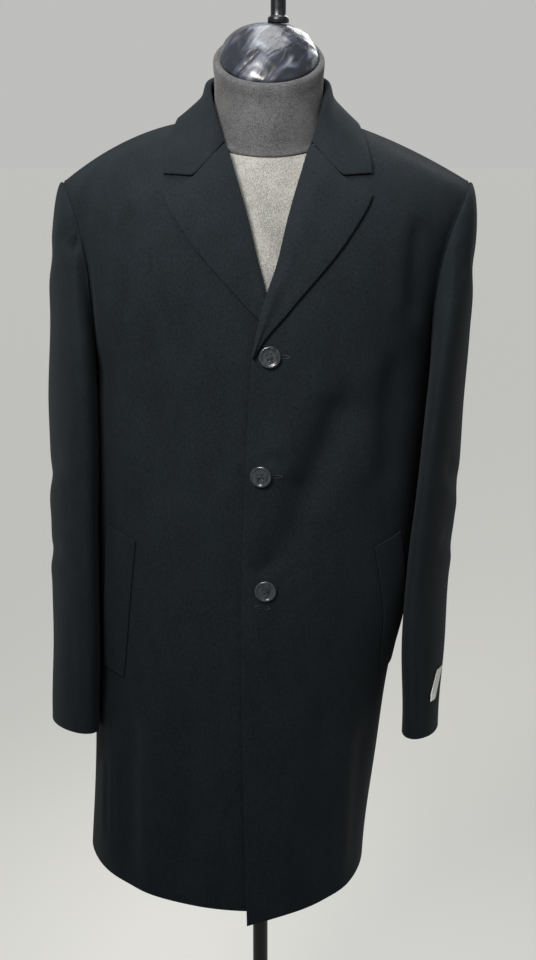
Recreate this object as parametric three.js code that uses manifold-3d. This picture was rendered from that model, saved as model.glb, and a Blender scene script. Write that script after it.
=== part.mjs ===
// Single-breasted topcoat on a limbless dress form.
// Millimetres, +Z up, the front faces -Y and the wearer's left is +X.
// The origin is the centre of the stand's base, on the floor.
import * as THREE from 'three';
import { mergeVertices } from 'three/addons/utils/BufferGeometryUtils.js';
import Module from 'manifold-3d';

const wasm = await Module();
wasm.setup();

// ---------------------------------------------------------------- driving dimensions
const clothWall = 2.6;
const seamGap = 0.3;
const formOffset = 10;           // the form stands this far to the left of its pole

const neckPoint = { x: 80, y: 14, z: 1508 };
const napeY = 82;
const napeZ = 1524;
const neckShare = 0.28;          // share of the back's top edge that is neckline

const lapelWall = 2.2;
const lapelLift = 2.1;           // from the front's face to the middle of the lapel
const collarWall = 2.4;
const buttonRadius = 12.5;
const buttonHeight = 3.6;
const weltWall = 1.6;
const weltLift = 1.1;            // air under a welt, so that its flat faces clear the front's curve
const labelSize = { wide: 20, tall: 36, wall: 1.2 };
const buttonLift = 0.5;          // air under a button
const holeSpread = 2.3;          // a button's holes, from its middle
const holeRadius = 0.95;

const panelColumns = 13;
const panelRows = 22;
const sleeveSteps = 24;          // round the sleeve
const capSteps = 6;
const armSteps = 9;

// ---------------------------------------------------------------- tables
// One row for each line across a front, from the neckline and roll line (start) to the
// armhole (end); near and far are the handles of its curve. lap is how far back the
// right front sits where the left one covers it, crown its share of the shoulder's rise.
const frontRows = [
  { start: [80, 14, 1508], near: [133, 10], far: [185, 6], end: [238, 2, 1437], lap: 0, crown: 1 },
  { start: [72, -18, 1497], near: [122, -42], far: [182, -44], end: [233, -26, 1424], lap: 0, crown: 0.9 },
  { start: [51, -60, 1478], near: [95, -92], far: [180, -80], end: [221, -44, 1401], lap: 0, crown: 0.5 },
  { start: [40, -90, 1447], near: [85, -120], far: [174, -110], end: [207, -56, 1368], lap: 0, crown: 0.2 },
  { start: [25, -115, 1397], near: [78, -140], far: [172, -122], end: [199, -58, 1325], lap: 0, crown: 0 },
  { start: [13, -130, 1348], near: [74, -151], far: [178, -124], end: [197, -50, 1280], lap: 2, crown: 0 },
  { start: [-1, -140, 1308], near: [70, -156], far: [187, -114], end: [197, -32, 1238], lap: 5, crown: 0 },
  { start: [-18, -147, 1242], near: [80, -160], far: [198, -100], end: [198, 0, 1207], lap: 7, crown: 0 },
];
const shoulderRise = { left: 8, right: 19 };   // of the handles of the shoulder line

// The same for a back, from the centre back seam to the armhole. Its first line, the
// neckline and shoulder seam, is worked out from the front's.
const backRows = [
  { start: [0, 98, 1497], near: [70, 100], far: [175, 54], end: [234, 27, 1426], crown: 0.9 },
  { start: [0, 112, 1462], near: [75, 116], far: [180, 84], end: [224, 45, 1402], crown: 0.5 },
  { start: [0, 123, 1412], near: [78, 128], far: [182, 108], end: [213, 56, 1366], crown: 0.2 },
  { start: [0, 129, 1362], near: [80, 134], far: [186, 117], end: [206, 59, 1326], crown: 0 },
  { start: [0, 131, 1312], near: [82, 136], far: [192, 115], end: [202, 53, 1284], crown: 0 },
  { start: [0, 130, 1262], near: [84, 135], far: [198, 106], end: [199, 36, 1240], crown: 0 },
  { start: [0, 127, 1220], near: [100, 132], far: [198, 88], end: [198, 0, 1207], crown: 0 },
];

// How far out of those ends each side's armhole stands, line by line.
const frontSpread = {
  left: [-1, -2, -1.5, -1, -3.5, -6, -6, -4],
  right: [3, -0.5, 0.8, 5.2, 6.3, 6.5, 6.5, 5],
};
const backSpread = {
  left: [0, 0, -1, -2, -4, -5, -4],
  right: [0.5, 0.5, 3, 4, 5, 5.5, 5],
};

const hemRise = 22;              // how much higher the hem is at the sides

// Level sections of the coat below the arms: the reach of each side from the centre,
// front and back depth, and how far each front runs past the centre (edge). drop lowers
// the left front's edge and rise lifts the side. flat and square are the handles of the
// front's curve, as shares of its width and its depth: the larger, the squarer its corner.
const skirtSections = [
  { z: 1160, left: 190.5, right: 208, front: -150, back: 123, edge: 23, drop: 0, rise: 0, flat: 0.56, square: 0.5 },
  { z: 1110, left: 186.5, right: 209, front: -152, back: 119, edge: 25, drop: 0, rise: 0, flat: 0.56, square: 0.5 },
  { z: 1000, left: 178, right: 210, front: -154, back: 119, edge: 29, drop: 0, rise: 0, flat: 0.56, square: 0.5 },
  { z: 935, left: 171, right: 212, front: -156, back: 123, edge: 30, drop: 0, rise: 0, flat: 0.56, square: 0.5 },
  { z: 870, left: 157, right: 213, front: -158, back: 128, edge: 30, drop: 0, rise: 1, flat: 0.56, square: 0.5 },
  { z: 740, left: 137, right: 217, front: -164, back: 138, edge: 28, drop: 3, rise: 7, flat: 0.6, square: 0.54 },
  { z: 583, left: 121, right: 225, front: -172, back: 148, edge: 24, drop: 8, rise: hemRise, flat: 0.72, square: 0.66 },
];
const backRoundness = 0.56;      // handle length of the back's curve, as a share
const lapDepth = 6.5;
const underReach = 0.75;         // how far the right front runs under, as a share of the edge
const underRound = 0.28;         // how much rounder the right front's lower corner is
const dropTurn = 3.4;            // how soon the dropped edge is level again
const riseTurn = 0.7;            // how soon the side begins to rise
const backSway = 0.35;           // the centre back seam's share of the skirt's lean

// Level rings of each sleeve below the armhole. out is the ring's centre, turn how far
// its front edge is turned in, in degrees.
const sleeveRings = {
  left: [
    { z: 1168, out: 215, y: -5, deep: 86, wide: 20.5, turn: 14 },
    { z: 1050, out: 206, y: -9, deep: 82, wide: 20.2, turn: 17 },
    { z: 914, out: 194.5, y: -18, deep: 75, wide: 21.4, turn: 19 },
    { z: 765, out: 190, y: -30, deep: 66, wide: 21.5, turn: 12 },
  ],
  right: [
    { z: 1168, out: 238, y: -5, deep: 86, wide: 25, turn: 16 },
    { z: 1050, out: 237.5, y: -9, deep: 82, wide: 25.5, turn: 17 },
    { z: 914, out: 238, y: -18, deep: 75, wide: 24, turn: 19 },
    { z: 771, out: 240, y: -30, deep: 66, wide: 25, turn: 21 },
  ],
};
const cuffRise = 9;              // the cuff's front edge stands this much higher

// Soft folds in the fronts: from and to are places in the front view.
const folds = {
  left: [
    { from: [100, 1200], to: [22, 1114], width: 17, depth: 3.2 },
    { from: [172, 1400], to: [168, 1290], width: 14, depth: 2.2 },
    { from: [66, 830], to: [78, 600], width: 24, depth: 3 },
  ],
  right: [
    { from: [-178, 1405], to: [-176, 1262], width: 13, depth: 2.8 },
    { from: [-148, 1412], to: [-150, 1275], width: 13, depth: 2.2 },
    { from: [-172, 800], to: [-178, 600], width: 16, depth: 3.2 },
    { from: [-96, 820], to: [-104, 600], width: 34, depth: 3 },
  ],
};

// Lapels in the front view, drawn as for the left one. The right one ends where the left
// front covers it.
const lapelOuter = {
  left: [[118, 1424], [112, 1411], [88, 1374], [52, 1330], [20, 1293], [-6.7, 1262], [-15, 1248]],
  right: [[118, 1424], [112, 1411], [88, 1374], [52, 1332], [22, 1299], [8.6, 1285.5]],
};
const lapelRoll = {
  left: [[51, 1478], [40, 1447], [25, 1397], [13, 1348], [-1, 1308], [-10, 1272], [-17.2, 1246]],
  right: [[51, 1478], [40, 1447], [25, 1397], [13, 1348], [2.6, 1310]],
};
const notch = { inner: [84, 1443.5], collarCorner: [118, 1446] };

// Collar: neckline, crease and outer edge at places from the gorge to the centre back.
// sag is how far the fall dips in between its crease and its edge, crown its share of the
// extra height of the right shoulder.
const collarRows = [
  { seam: [51, -60, 1478], crease: [51, -60, 1482], edge: [118, -92, 1446], sag: 0, crown: 0 },
  { seam: [61, -40, 1488], crease: [57.5, -49, 1501], edge: [117, -80, 1459], sag: 3, crown: 0.05 },
  { seam: [72, -18, 1497], crease: [65, -32, 1524], edge: [113, -50, 1479], sag: 5, crown: 0.25 },
  { seam: [80, 14, 1508], crease: [70.5, 10, 1550], edge: [103, 8, 1505.5], sag: 6, crown: 0.45 },
  { seam: [68, 50, 1517], crease: [60, 44, 1558], edge: [86, 66, 1507], sag: 4, crown: 0.3 },
  { seam: [40, 73, 1522], crease: [34, 68, 1563], edge: [50, 98, 1506], sag: 3, crown: 0.1 },
  { seam: [0, 82, 1524], crease: [0, 76, 1565], edge: [0, 109, 1505], sag: 3, crown: 0 },
];

// Corners of the welts in the front view: the upper and lower ends of the edge towards
// the centre (inner) and of the one towards the side (outer).
const weltPlaces = {
  left: { topInner: [124, 1019], topOuter: [156, 1030], lowInner: [134, 850], lowOuter: [151, 856] },
  right: { topInner: [-155, 1023], topOuter: [-191, 1034], lowInner: [-173, 850], lowOuter: [-199, 856] },
};
const buttonPlaces = { top: [2, 1247], middle: [-8, 1112], lower: [-3, 977] };

// Dress form, level sections: half width, front and back depth and the tilt of the
// section, which rises towards the back.
const formSections = [
  { z: 800, half: 116, front: -104, back: 92, tilt: 0, pinch: 1 },
  { z: 812, half: 124, front: -112, back: 100, tilt: 0, pinch: 1 },
  { z: 900, half: 138, front: -122, back: 108, tilt: 0, pinch: 1 },
  { z: 1000, half: 146, front: -124, back: 102, tilt: 0, pinch: 1 },
  { z: 1110, half: 156, front: -126, back: 100, tilt: 0, pinch: 1 },
  { z: 1230, half: 174, front: -132, back: 110, tilt: 0, pinch: 1 },
  { z: 1310, half: 180, front: -131, back: 116, tilt: 0, pinch: 1 },
  { z: 1370, half: 186, front: -117, back: 112, tilt: 0.02, pinch: 1.05 },
  { z: 1420, half: 196, front: -100, back: 100, tilt: 0.06, pinch: 1.15 },
  { z: 1446, half: 186, front: -88, back: 90, tilt: 0.12, pinch: 1.3 },
  { z: 1466, half: 148, front: -81, back: 80, tilt: 0.18, pinch: 1.4 },
  { z: 1480, half: 106, front: -77, back: 77, tilt: 0.25, pinch: 1.3 },
  { z: 1487, half: 72, front: -74, back: 76, tilt: 0.3, pinch: 1 },
];
const neckSections = [
  { z: 1487.3, half: 69, front: -74, back: 77, tilt: 0.3, pinch: 1 },
  { z: 1496, half: 66, front: -71, back: 74, tilt: 0.31, pinch: 1 },
  { z: 1530, half: 63.5, front: -65, back: 69, tilt: 0.4, pinch: 1 },
  { z: 1566, half: 64, front: -61, back: 66, tilt: 0.5, pinch: 1 },
  { z: 1573, half: 62.5, front: -59.5, back: 64, tilt: 0.52, pinch: 1 },
  { z: 1575, half: 58, front: -55.5, back: 60, tilt: 0.52, pinch: 1 },
];
const capSections = [
  { z: 1575.4, half: 57, front: -55, back: 59, tilt: 0.52, pinch: 1 },
  { z: 1590, half: 53, front: -49, back: 54, tilt: 0.5, pinch: 1 },
  { z: 1602, half: 44, front: -38, back: 44, tilt: 0.42, pinch: 1 },
  { z: 1611, half: 30, front: -22, back: 30, tilt: 0.3, pinch: 1 },
  { z: 1617, half: 17, front: -10, back: 19, tilt: 0, pinch: 1 },
];
const neckShift = 1;             // the neck stands this far to the wearer's left
const finial = { x: 12, y: 6, foot: 1617.7, top: 1666, radius: 9, collar: 12.5, collarTop: 1625 };
const pole = { radius: 9.5, top: 799.6, foot: 14.3 };
const base = { radius: 160, edge: 6, thick: 10, hubRadius: 26, hubHeight: 14 };

// ---------------------------------------------------------------- small vector helpers
const add = (p, q) => p.map((value, i) => value + q[i]);
const sub = (p, q) => p.map((value, i) => value - q[i]);
const scale = (p, k) => p.map((value) => value * k);
const mix = (p, q, t) => p.map((value, i) => value + (q[i] - value) * t);
const size = (p) => Math.hypot(...p);
const unit = (p) => scale(p, 1 / size(p));
const cross = (p, q) => [p[1] * q[2] - p[2] * q[1], p[2] * q[0] - p[0] * q[2], p[0] * q[1] - p[1] * q[0]];
const clamp = (value, low, high) => Math.min(high, Math.max(low, value));
const ease = (t) => t * t * (3 - 2 * t);

// Smooth curve through rows of numbers that stand at the given knots. It never swings
// past a row: where the numbers turn back or stand still, its slope is nil.
function through(knots, rows, t) {
  let i = 0;
  while (i < knots.length - 2 && t > knots[i + 1]) i += 1;
  const rate = (k) => scale(sub(rows[k + 1], rows[k]), 1 / (knots[k + 1] - knots[k]));
  const slope = (k) => {
    if (k === 0) return rate(0);
    if (k === knots.length - 1) return rate(k - 1);
    const before = rate(k - 1);
    const after = rate(k);
    return before.map((value, c) => (value * after[c] <= 0 ? 0 : (2 * value * after[c]) / (value + after[c])));
  };
  const span = knots[i + 1] - knots[i];
  const s = (t - knots[i]) / span;
  const rise = s * s * (3 - 2 * s);
  const leave = s * (1 - s) * (1 - s) * span;
  const arrive = s * s * (s - 1) * span;
  const curve = add(scale(slope(i), leave), scale(slope(i + 1), arrive));
  return add(mix(rows[i], rows[i + 1], rise), curve);
}

// Knots from 0 to 1 that follow the distance between points.
function knotsAlong(points) {
  const knots = [0];
  points.slice(1).forEach((point, i) => knots.push(knots[i] + size(sub(point, points[i]))));
  return knots.map((knot) => knot / knots[knots.length - 1]);
}

const evenKnots = (count) => Array.from({ length: count }, (_, i) => i / (count - 1));

function bezier(p0, p1, p2, p3, t) {
  const s = 1 - t;
  const ends = add(scale(p0, s * s * s), scale(p3, t * t * t));
  return add(ends, add(scale(p1, 3 * s * s * t), scale(p2, 3 * s * t * t)));
}

// The same curve, begun the given share before its start.
function fromBefore([p0, p1, p2, p3], share) {
  const [a, b, c] = [mix(p0, p1, -share), mix(p1, p2, -share), mix(p2, p3, -share)];
  const [d, e] = [mix(a, b, -share), mix(b, c, -share)];
  return [mix(d, e, -share), e, c, p3];
}

// ---------------------------------------------------------------- solids from grids
// Turns point loops into a closed mesh whose faces point outwards.
function closedMesh(points, triangles) {
  const corner = (i) => points[i];
  const volume = triangles.reduce((sum, [a, b, c]) => {
    const [p, q, r] = [corner(a), corner(b), corner(c)];
    const normal = cross(q, r);
    return sum + p[0] * normal[0] + p[1] * normal[1] + p[2] * normal[2];
  }, 0);
  const facing = volume < 0 ? triangles.map(([a, b, c]) => [a, c, b]) : triangles;
  const geometry = new THREE.BufferGeometry();
  geometry.setAttribute('position', new THREE.Float32BufferAttribute(points.flat(), 3));
  geometry.setIndex(facing.flat());
  geometry.computeVertexNormals();
  return geometry;
}

// A wall between two grids of the same size, closed round its rim.
function wallBetween(outer, inner) {
  const rows = outer.length;
  const columns = outer[0].length;
  const points = [...outer.flat(), ...inner.flat()];
  const half = rows * columns;
  const outside = (i, j) => i * columns + j;
  const inside = (i, j) => half + i * columns + j;
  const triangles = [];
  const quad = (a, b, c, d) => triangles.push([a, b, c], [a, c, d]);
  for (let i = 0; i < rows - 1; i += 1) {
    for (let j = 0; j < columns - 1; j += 1) {
      quad(outside(i, j), outside(i + 1, j), outside(i + 1, j + 1), outside(i, j + 1));
      quad(inside(i, j), inside(i, j + 1), inside(i + 1, j + 1), inside(i + 1, j));
    }
    quad(outside(i + 1, 0), outside(i, 0), inside(i, 0), inside(i + 1, 0));
    quad(outside(i, columns - 1), outside(i + 1, columns - 1), inside(i + 1, columns - 1), inside(i, columns - 1));
  }
  for (let j = 0; j < columns - 1; j += 1) {
    quad(outside(0, j), outside(0, j + 1), inside(0, j + 1), inside(0, j));
    quad(outside(rows - 1, j + 1), outside(rows - 1, j), inside(rows - 1, j), inside(rows - 1, j + 1));
  }
  return closedMesh(points, triangles);
}

// Surface direction at a place, pointing away from the body where facing is right.
function normalAt(surface, u, v, facing) {
  const step = 0.004;
  const across = sub(surface(u + step, v), surface(u - step, v));
  const down = sub(surface(u, v + step), surface(u, v - step));
  return scale(unit(cross(across, down)), facing);
}

// A cloth wall on a surface. Its outer face stands lift from the surface, and squared
// turns the normals along a seam so that two pieces meet there face to face.
function clothWallOf(surface, facing, us, vs, lift, wall, squared = (normal) => normal) {
  const face = (shift) => vs.map((v) => us.map((u) => {
    const reach = (typeof lift === 'function' ? lift(u) : lift) - shift;
    const normal = squared(normalAt(surface, u, v, facing), u, v);
    return add(surface(u, v), scale(normal, reach));
  }));
  return wallBetween(face(0), face(wall));
}

// A smooth solid through closed level sections, flat at both ends.
function solidThrough(sections, steps, layers, shiftX) {
  const keys = ['z', 'half', 'front', 'back', 'tilt', 'pinch'];
  const rows = sections.map((section) => keys.map((key) => section[key]));
  const knots = knotsAlong(rows.map((row) => [row[0], row[1]]));
  const points = [];
  for (let k = 0; k < layers; k += 1) {
    const [z, half, front, back, tilt, pinch] = through(knots, rows, k / (layers - 1));
    const pinched = (value) => Math.sign(value) * Math.abs(value) ** pinch;
    for (let i = 0; i < steps; i += 1) {
      const angle = (2 * Math.PI * i) / steps;
      const y = Math.abs(pinched(Math.sin(angle))) * (Math.sin(angle) < 0 ? front : back);
      points.push([shiftX + half * pinched(Math.cos(angle)), y, z + tilt * y]);
    }
  }
  const low = points.length;
  const first = rows[0];
  const last = rows[rows.length - 1];
  points.push([shiftX, 0, first[0]], [shiftX, 0, last[0]]);
  const triangles = [];
  for (let i = 0; i < steps; i += 1) {
    const next = (i + 1) % steps;
    for (let k = 0; k < layers - 1; k += 1) {
      const here = k * steps;
      const above = here + steps;
      triangles.push([here + i, here + next, above + next], [here + i, above + next, above + i]);
    }
    const rim = (layers - 1) * steps;
    triangles.push([low, next, i], [low + 1, rim + i, rim + next]);
  }
  return closedMesh(points, triangles);
}

// ---------------------------------------------------------------- panels of the coat
const sideOf = { left: 1, right: -1 };

// Depth of the soft folds at a place in the front view.
function foldDepth(side, x, z) {
  return folds[side].reduce((sum, fold) => {
    const run = sub(fold.to, fold.from);
    const along = ((x - fold.from[0]) * run[0] + (z - fold.from[1]) * run[1]) / (run[0] ** 2 + run[1] ** 2);
    const off = ((x - fold.from[0]) * run[1] - (z - fold.from[1]) * run[0]) / size(run);
    const fade = Math.exp(-((clamp(Math.abs(along - 0.5) - 0.3, 0, 1) / 0.16) ** 2));
    return sum + fold.depth * fade * Math.exp(-((off / fold.width) ** 2));
  }, 0);
}

// Lines across a panel as [x, y, z] of start, near, far and end.
function frontLines(side) {
  const way = sideOf[side];
  const under = side === 'right' ? 1 : 0;
  const upper = frontRows.map(({ start, near, far, end, lap, crown }, line) => {
    const back = under * lap;
    const out = frontSpread[side][line];
    const level = (t) => start[2] + (end[2] - start[2]) * t + crown * shoulderRise[side];
    return [
      [way * start[0], start[1] + back, start[2]],
      [way * near[0], near[1] + back * 0.7, level(1 / 3)],
      [way * (far[0] + out), far[1], level(2 / 3)],
      [way * (end[0] + out), end[1], end[2]],
    ];
  });
  const lower = skirtSections.map(({ z, [side]: width, front, edge, drop, rise, flat, square }) => {
    const endX = way * width;
    const nearX = endX * flat;
    const reach = under ? edge * underReach : edge;
    const frontY = front + under * lapDepth;
    const low = under ? z : z - drop;
    const middle = low + (z - low) * dropTurn;
    const high = z + rise;
    const corner = under ? square - (rise / hemRise) * underRound : square;
    const quarter = [
      [0, frontY, low], [nearX, frontY, middle], [endX, front * corner, z + rise * riseTurn], [endX, 0, high],
    ];
    return fromBefore(quarter, reach / Math.abs(3 * nearX));
  });
  return [...upper, ...lower];
}

function backLines(side) {
  const way = sideOf[side];
  const upper = backRows.map(({ start, near, far, end, crown }, line) => {
    const out = backSpread[side][line];
    const level = (t) => start[2] + (end[2] - start[2]) * t + crown * shoulderRise[side] * t;
    return [
      [way * (start[0] + seamGap / 2), start[1], start[2]],
      [way * near[0], near[1], level(1 / 3)],
      [way * (far[0] + out), far[1], level(2 / 3)],
      [way * (end[0] + out), end[1] + seamGap, end[2]],
    ];
  });
  const lower = skirtSections.map(({ z, left, right, back, rise }) => {
    const startX = way * (seamGap / 2) + (left - right) * backSway;
    const endX = side === 'left' ? left : -right;
    return [
      [startX, back, z],
      [startX + (endX - startX) * backRoundness, back + 1, z],
      [endX, back * (1 - backRoundness), z + rise * riseTurn],
      [endX, seamGap, z + rise],
    ];
  });
  return [...upper, ...lower];
}

// The back's top line: a quarter of the neckline and then the shoulder seam.
function backTop(side, u) {
  const way = sideOf[side];
  const { x, y, z } = neckPoint;
  if (u < neckShare) {
    const angle = (Math.PI / 2) * (u / neckShare);
    const level = napeZ + (z - napeZ) * (1 - Math.cos(angle));
    return [way * (seamGap / 2 + (x - seamGap / 2) * Math.sin(angle)), y + (napeY - y) * Math.cos(angle), level];
  }
  const seam = bezier(...frontLines(side)[0], (u - neckShare) / (1 - neckShare));
  return add(seam, [0, seamGap, 0]);
}

// Where a panel's lines lie from its top to its hem. Both backs are measured along the
// centre back seam, so that they agree there.
function lineKnots(lines, top) {
  if (top) return knotsAlong([top(0), ...lines.map((line) => line[0])]);
  return knotsAlong(lines.map((line) => bezier(...line, 0.5)));
}

// A panel's surface: u runs from the centre to the side, v from the shoulder to the hem.
function panelSurface(lines, top) {
  const knots = lineKnots(lines, top);
  return (u, v) => {
    const across = lines.map((line) => bezier(...line, u));
    return through(knots, top ? [top(u), ...across] : across, v);
  };
}

const flatPanels = {
  frontLeft: panelSurface(frontLines('left')),
  frontRight: panelSurface(frontLines('right')),
  backLeft: panelSurface(backLines('left'), (u) => backTop('left', u)),
  backRight: panelSurface(backLines('right'), (u) => backTop('right', u)),
};

// A front with its soft folds pressed in along the normal.
function foldedFront(side, surface) {
  const facing = -sideOf[side];
  return (u, v) => {
    const place = surface(u, v);
    const depth = foldDepth(side, place[0], place[2]);
    return depth < 0.02 ? place : add(place, scale(normalAt(surface, u, v, facing), -depth));
  };
}

const panels = {
  frontLeft: { surface: foldedFront('left', flatPanels.frontLeft), facing: -1 },
  frontRight: { surface: foldedFront('right', flatPanels.frontRight), facing: 1 },
  backLeft: { surface: flatPanels.backLeft, facing: 1 },
  backRight: { surface: flatPanels.backRight, facing: -1 },
};

// Finds where a place in the front view lies on a panel.
function placeOn(panel, [x, z]) {
  const step = 0.002;
  let u = 0.3;
  let v = 0.3;
  for (let turn = 0; turn < 30; turn += 1) {
    const here = panel.surface(u, v);
    const du = scale(sub(panel.surface(u + step, v), here), 1 / step);
    const dv = scale(sub(panel.surface(u, v + step), here), 1 / step);
    const [ex, ez] = [x - here[0], z - here[2]];
    const det = du[0] * dv[2] - dv[0] * du[2];
    u = clamp(u + clamp((ex * dv[2] - dv[0] * ez) / det, -0.2, 0.2), -0.1, 1.1);
    v = clamp(v + clamp((du[0] * ez - du[2] * ex) / det, -0.2, 0.2), -0.02, 1.02);
  }
  return [u, v];
}

// ---------------------------------------------------------------- pieces on the panels
// Patch of a front between two lines in the front view, as places on the panel.
function patchOn(panel, innerLine, outerLine) {
  const innerKnots = knotsAlong(innerLine);
  const outerKnots = knotsAlong(outerLine);
  const innerPlaces = innerLine.map((place) => placeOn(panel, place));
  const outerPlaces = outerLine.map((place) => placeOn(panel, place));
  return (u, v) => {
    const inner = through(innerKnots, innerPlaces, v);
    const outer = through(outerKnots, outerPlaces, v);
    return panel.surface(...mix(inner, outer, u));
  };
}

const mirrorLine = (line, side) => line.map(([x, z]) => [sideOf[side] * x, z]);

// The lapel's upper edge bends at the notch, so its first rows are drawn towards it.
function lapelSurface(side) {
  const panel = side === 'left' ? panels.frontLeft : panels.frontRight;
  const patch = patchOn(panel, mirrorLine(lapelRoll[side], side), mirrorLine(lapelOuter[side], side));
  const corners = [lapelRoll[side][0], notch.inner, lapelOuter[side][0]];
  const ends = mirrorLine(corners, side).map((place) => placeOn(panel, place));
  const half = 0.5;
  return (u, v) => {
    const straight = patch(u, v);
    const edge = u < half ? mix(ends[0], ends[1], u / half) : mix(ends[1], ends[2], (u - half) / half);
    const pull = sub(panel.surface(...edge), patch(u, 0));
    const fade = (1 - clamp(v / 0.3, 0, 1)) ** 2;
    return add(straight, scale(pull, fade));
  };
}

const rollPuff = (u) => 2.6 * Math.exp(-(((u - 0.22) / 0.2) ** 2));

function lapelGeometry(side) {
  const us = evenKnots(7);
  const vs = evenKnots(14).map((v) => 0.004 + v * 0.996);
  const lift = (u) => lapelLift + lapelWall / 2 + rollPuff(u);
  return clothWallOf(lapelSurface(side), -sideOf[side], us, vs, lift, lapelWall);
}

function weltGeometry(side) {
  const { topInner, topOuter, lowInner, lowOuter } = weltPlaces[side];
  const panel = side === 'left' ? panels.frontLeft : panels.frontRight;
  const corners = [topInner, topOuter, lowInner, lowOuter].map((place) => placeOn(panel, place));
  const surface = (u, v) => panel.surface(...mix(mix(corners[0], corners[1], u), mix(corners[2], corners[3], u), v));
  return clothWallOf(surface, -sideOf[side], evenKnots(4), evenKnots(9), weltLift + weltWall, weltWall);
}

// ---------------------------------------------------------------- collar
// Section of the collar at one row: up the stand, over the crease, down the fall.
function collarLine({ seam, crease, edge: low, sag, crown }, side) {
  const edge = add(low, [0, 0, crown * (shoulderRise[side] - shoulderRise.left)]);
  const outward = unit([seam[0], seam[1] * 0.9, 0]);
  const stand = size(sub(crease, seam));
  const fold = clamp(stand * 0.08, 0.8, 2.4);
  const tuck = scale(outward, -(collarWall / 2 + 0.9));
  const points = [
    add(add(seam, tuck), [0, 0, 0.5]),
    add(mix(seam, crease, 0.55), scale(tuck, 0.9)),
    add(crease, add(scale(outward, -fold), [0, 0, -fold])),
    crease,
    add(crease, add(scale(outward, fold), [0, 0, -fold])),
    add(mix(crease, edge, 0.3), scale(add(outward, [0, 0, 1]), -0.6 * sag)),
    add(mix(crease, edge, 0.65), scale(add(outward, [0, 0, 1]), -0.35 * sag)),
    edge,
  ];
  return points.map(([x, y, z]) => [sideOf[side] * x, y, z]);
}

const collarKnots = [0, 0.16, 0.36, 0.42, 0.48, 0.64, 0.82, 1];

function collarSurface() {
  const right = collarRows.map((row) => collarLine(row, 'right'));
  const left = collarRows.slice(0, -1).map((row) => collarLine(row, 'left')).reverse();
  const rows = [...right, ...left];
  const knots = knotsAlong(rows.map((row) => row[4]));
  return (u, v) => {
    const points = collarKnots.map((_, k) => through(knots, rows.map((row) => row[k]), v));
    return through(collarKnots, points, u);
  };
}

// The fall's front ends lie on the fronts, along the gorge and the notch.
function collarWithEnds() {
  const free = collarSurface();
  const gorge = (side) => {
    const panel = side === 'left' ? panels.frontLeft : panels.frontRight;
    const way = sideOf[side];
    const places = [[51.5, 1478.6], [84.2, 1444.3], notch.collarCorner].map(([x, z]) => placeOn(panel, [way * x, z]));
    return (u) => {
      const place = u < 0.5 ? mix(places[0], places[1], u / 0.5) : mix(places[1], places[2], (u - 0.5) / 0.5);
      return add(panel.surface(...place), scale(normalAt(panel.surface, ...place, -way), lapelLift + 0.6));
    };
  };
  const ends = { left: gorge('left'), right: gorge('right') };
  const creaseShare = 0.42;
  const reach = 0.13;
  return (u, v) => {
    const place = free(u, v);
    const side = v < 0.5 ? 'right' : 'left';
    const fromEnd = v < 0.5 ? v : 1 - v;
    if (fromEnd >= reach || u <= creaseShare) return place;
    const along = (u - creaseShare) / (1 - creaseShare);
    const pull = sub(ends[side](along), free(u, v < 0.5 ? 0 : 1));
    const start = ease(clamp(along / 0.2, 0, 1));
    return add(place, scale(pull, start * (1 - fromEnd / reach) ** 2));
  };
}

function collarGeometry() {
  const us = [0, 0.2, 0.34, 0.38, 0.42, 0.46, 0.5, 0.6, 0.71, 0.8, 0.9, 1];
  const vs = evenKnots(33);
  return clothWallOf(collarWithEnds(), 1, us, vs, collarWall / 2, collarWall);
}

// ---------------------------------------------------------------- sleeves
const armpitKnot = 7;            // the line of the fronts and backs that ends at the armpit
const armholeGap = 0.9;

// The armhole, once round: 0 at the shoulder, a quarter at the front, a half at the
// armpit. It runs along the panels' own side edges.
function armhole(side, q) {
  const way = sideOf[side];
  const front = side === 'left' ? flatPanels.frontLeft : flatPanels.frontRight;
  const back = side === 'left' ? flatPanels.backLeft : flatPanels.backRight;
  const turn = ((q % 1) + 1) % 1;
  const place = turn <= 0.5
    ? front(1, pitV.front[side] * turn * 2)
    : back(1, pitV.back[side] * (1 - turn) * 2);
  return add(place, [way * armholeGap, 0, 0]);
}

// Where the armpit lies along each panel's side edge.
const pitV = {
  front: {
    left: lineKnots(frontLines('left'))[armpitKnot],
    right: lineKnots(frontLines('right'))[armpitKnot],
  },
  back: {
    left: lineKnots(backLines('left'), (u) => backTop('left', u))[armpitKnot],
    right: lineKnots(backLines('right'), (u) => backTop('right', u))[armpitKnot],
  },
};

// A point of the sleeve below the armhole, at t from its first ring to the cuff.
function armPoint(side, q, t) {
  const rings = sleeveRings[side];
  const keys = ['z', 'out', 'y', 'deep', 'wide', 'turn'];
  const rows = rings.map((ring) => keys.map((key) => ring[key]));
  const knots = rings.map((ring) => (rings[0].z - ring.z) / (rings[0].z - rings[rings.length - 1].z));
  const [z, out, y, deep, wide, turn] = through(knots, rows, t);
  const angle = 2 * Math.PI * q;
  const lean = THREE.MathUtils.degToRad(turn);
  const outward = wide * Math.cos(angle);
  const forward = deep * Math.sin(angle);
  const reachX = outward * Math.cos(lean) - forward * Math.sin(lean);
  const reachY = -forward * Math.cos(lean) - outward * Math.sin(lean);
  const rise = cuffRise * t * t * (-reachY / deep);
  return [sideOf[side] * (out + reachX), y + reachY, z + rise];
}

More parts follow.
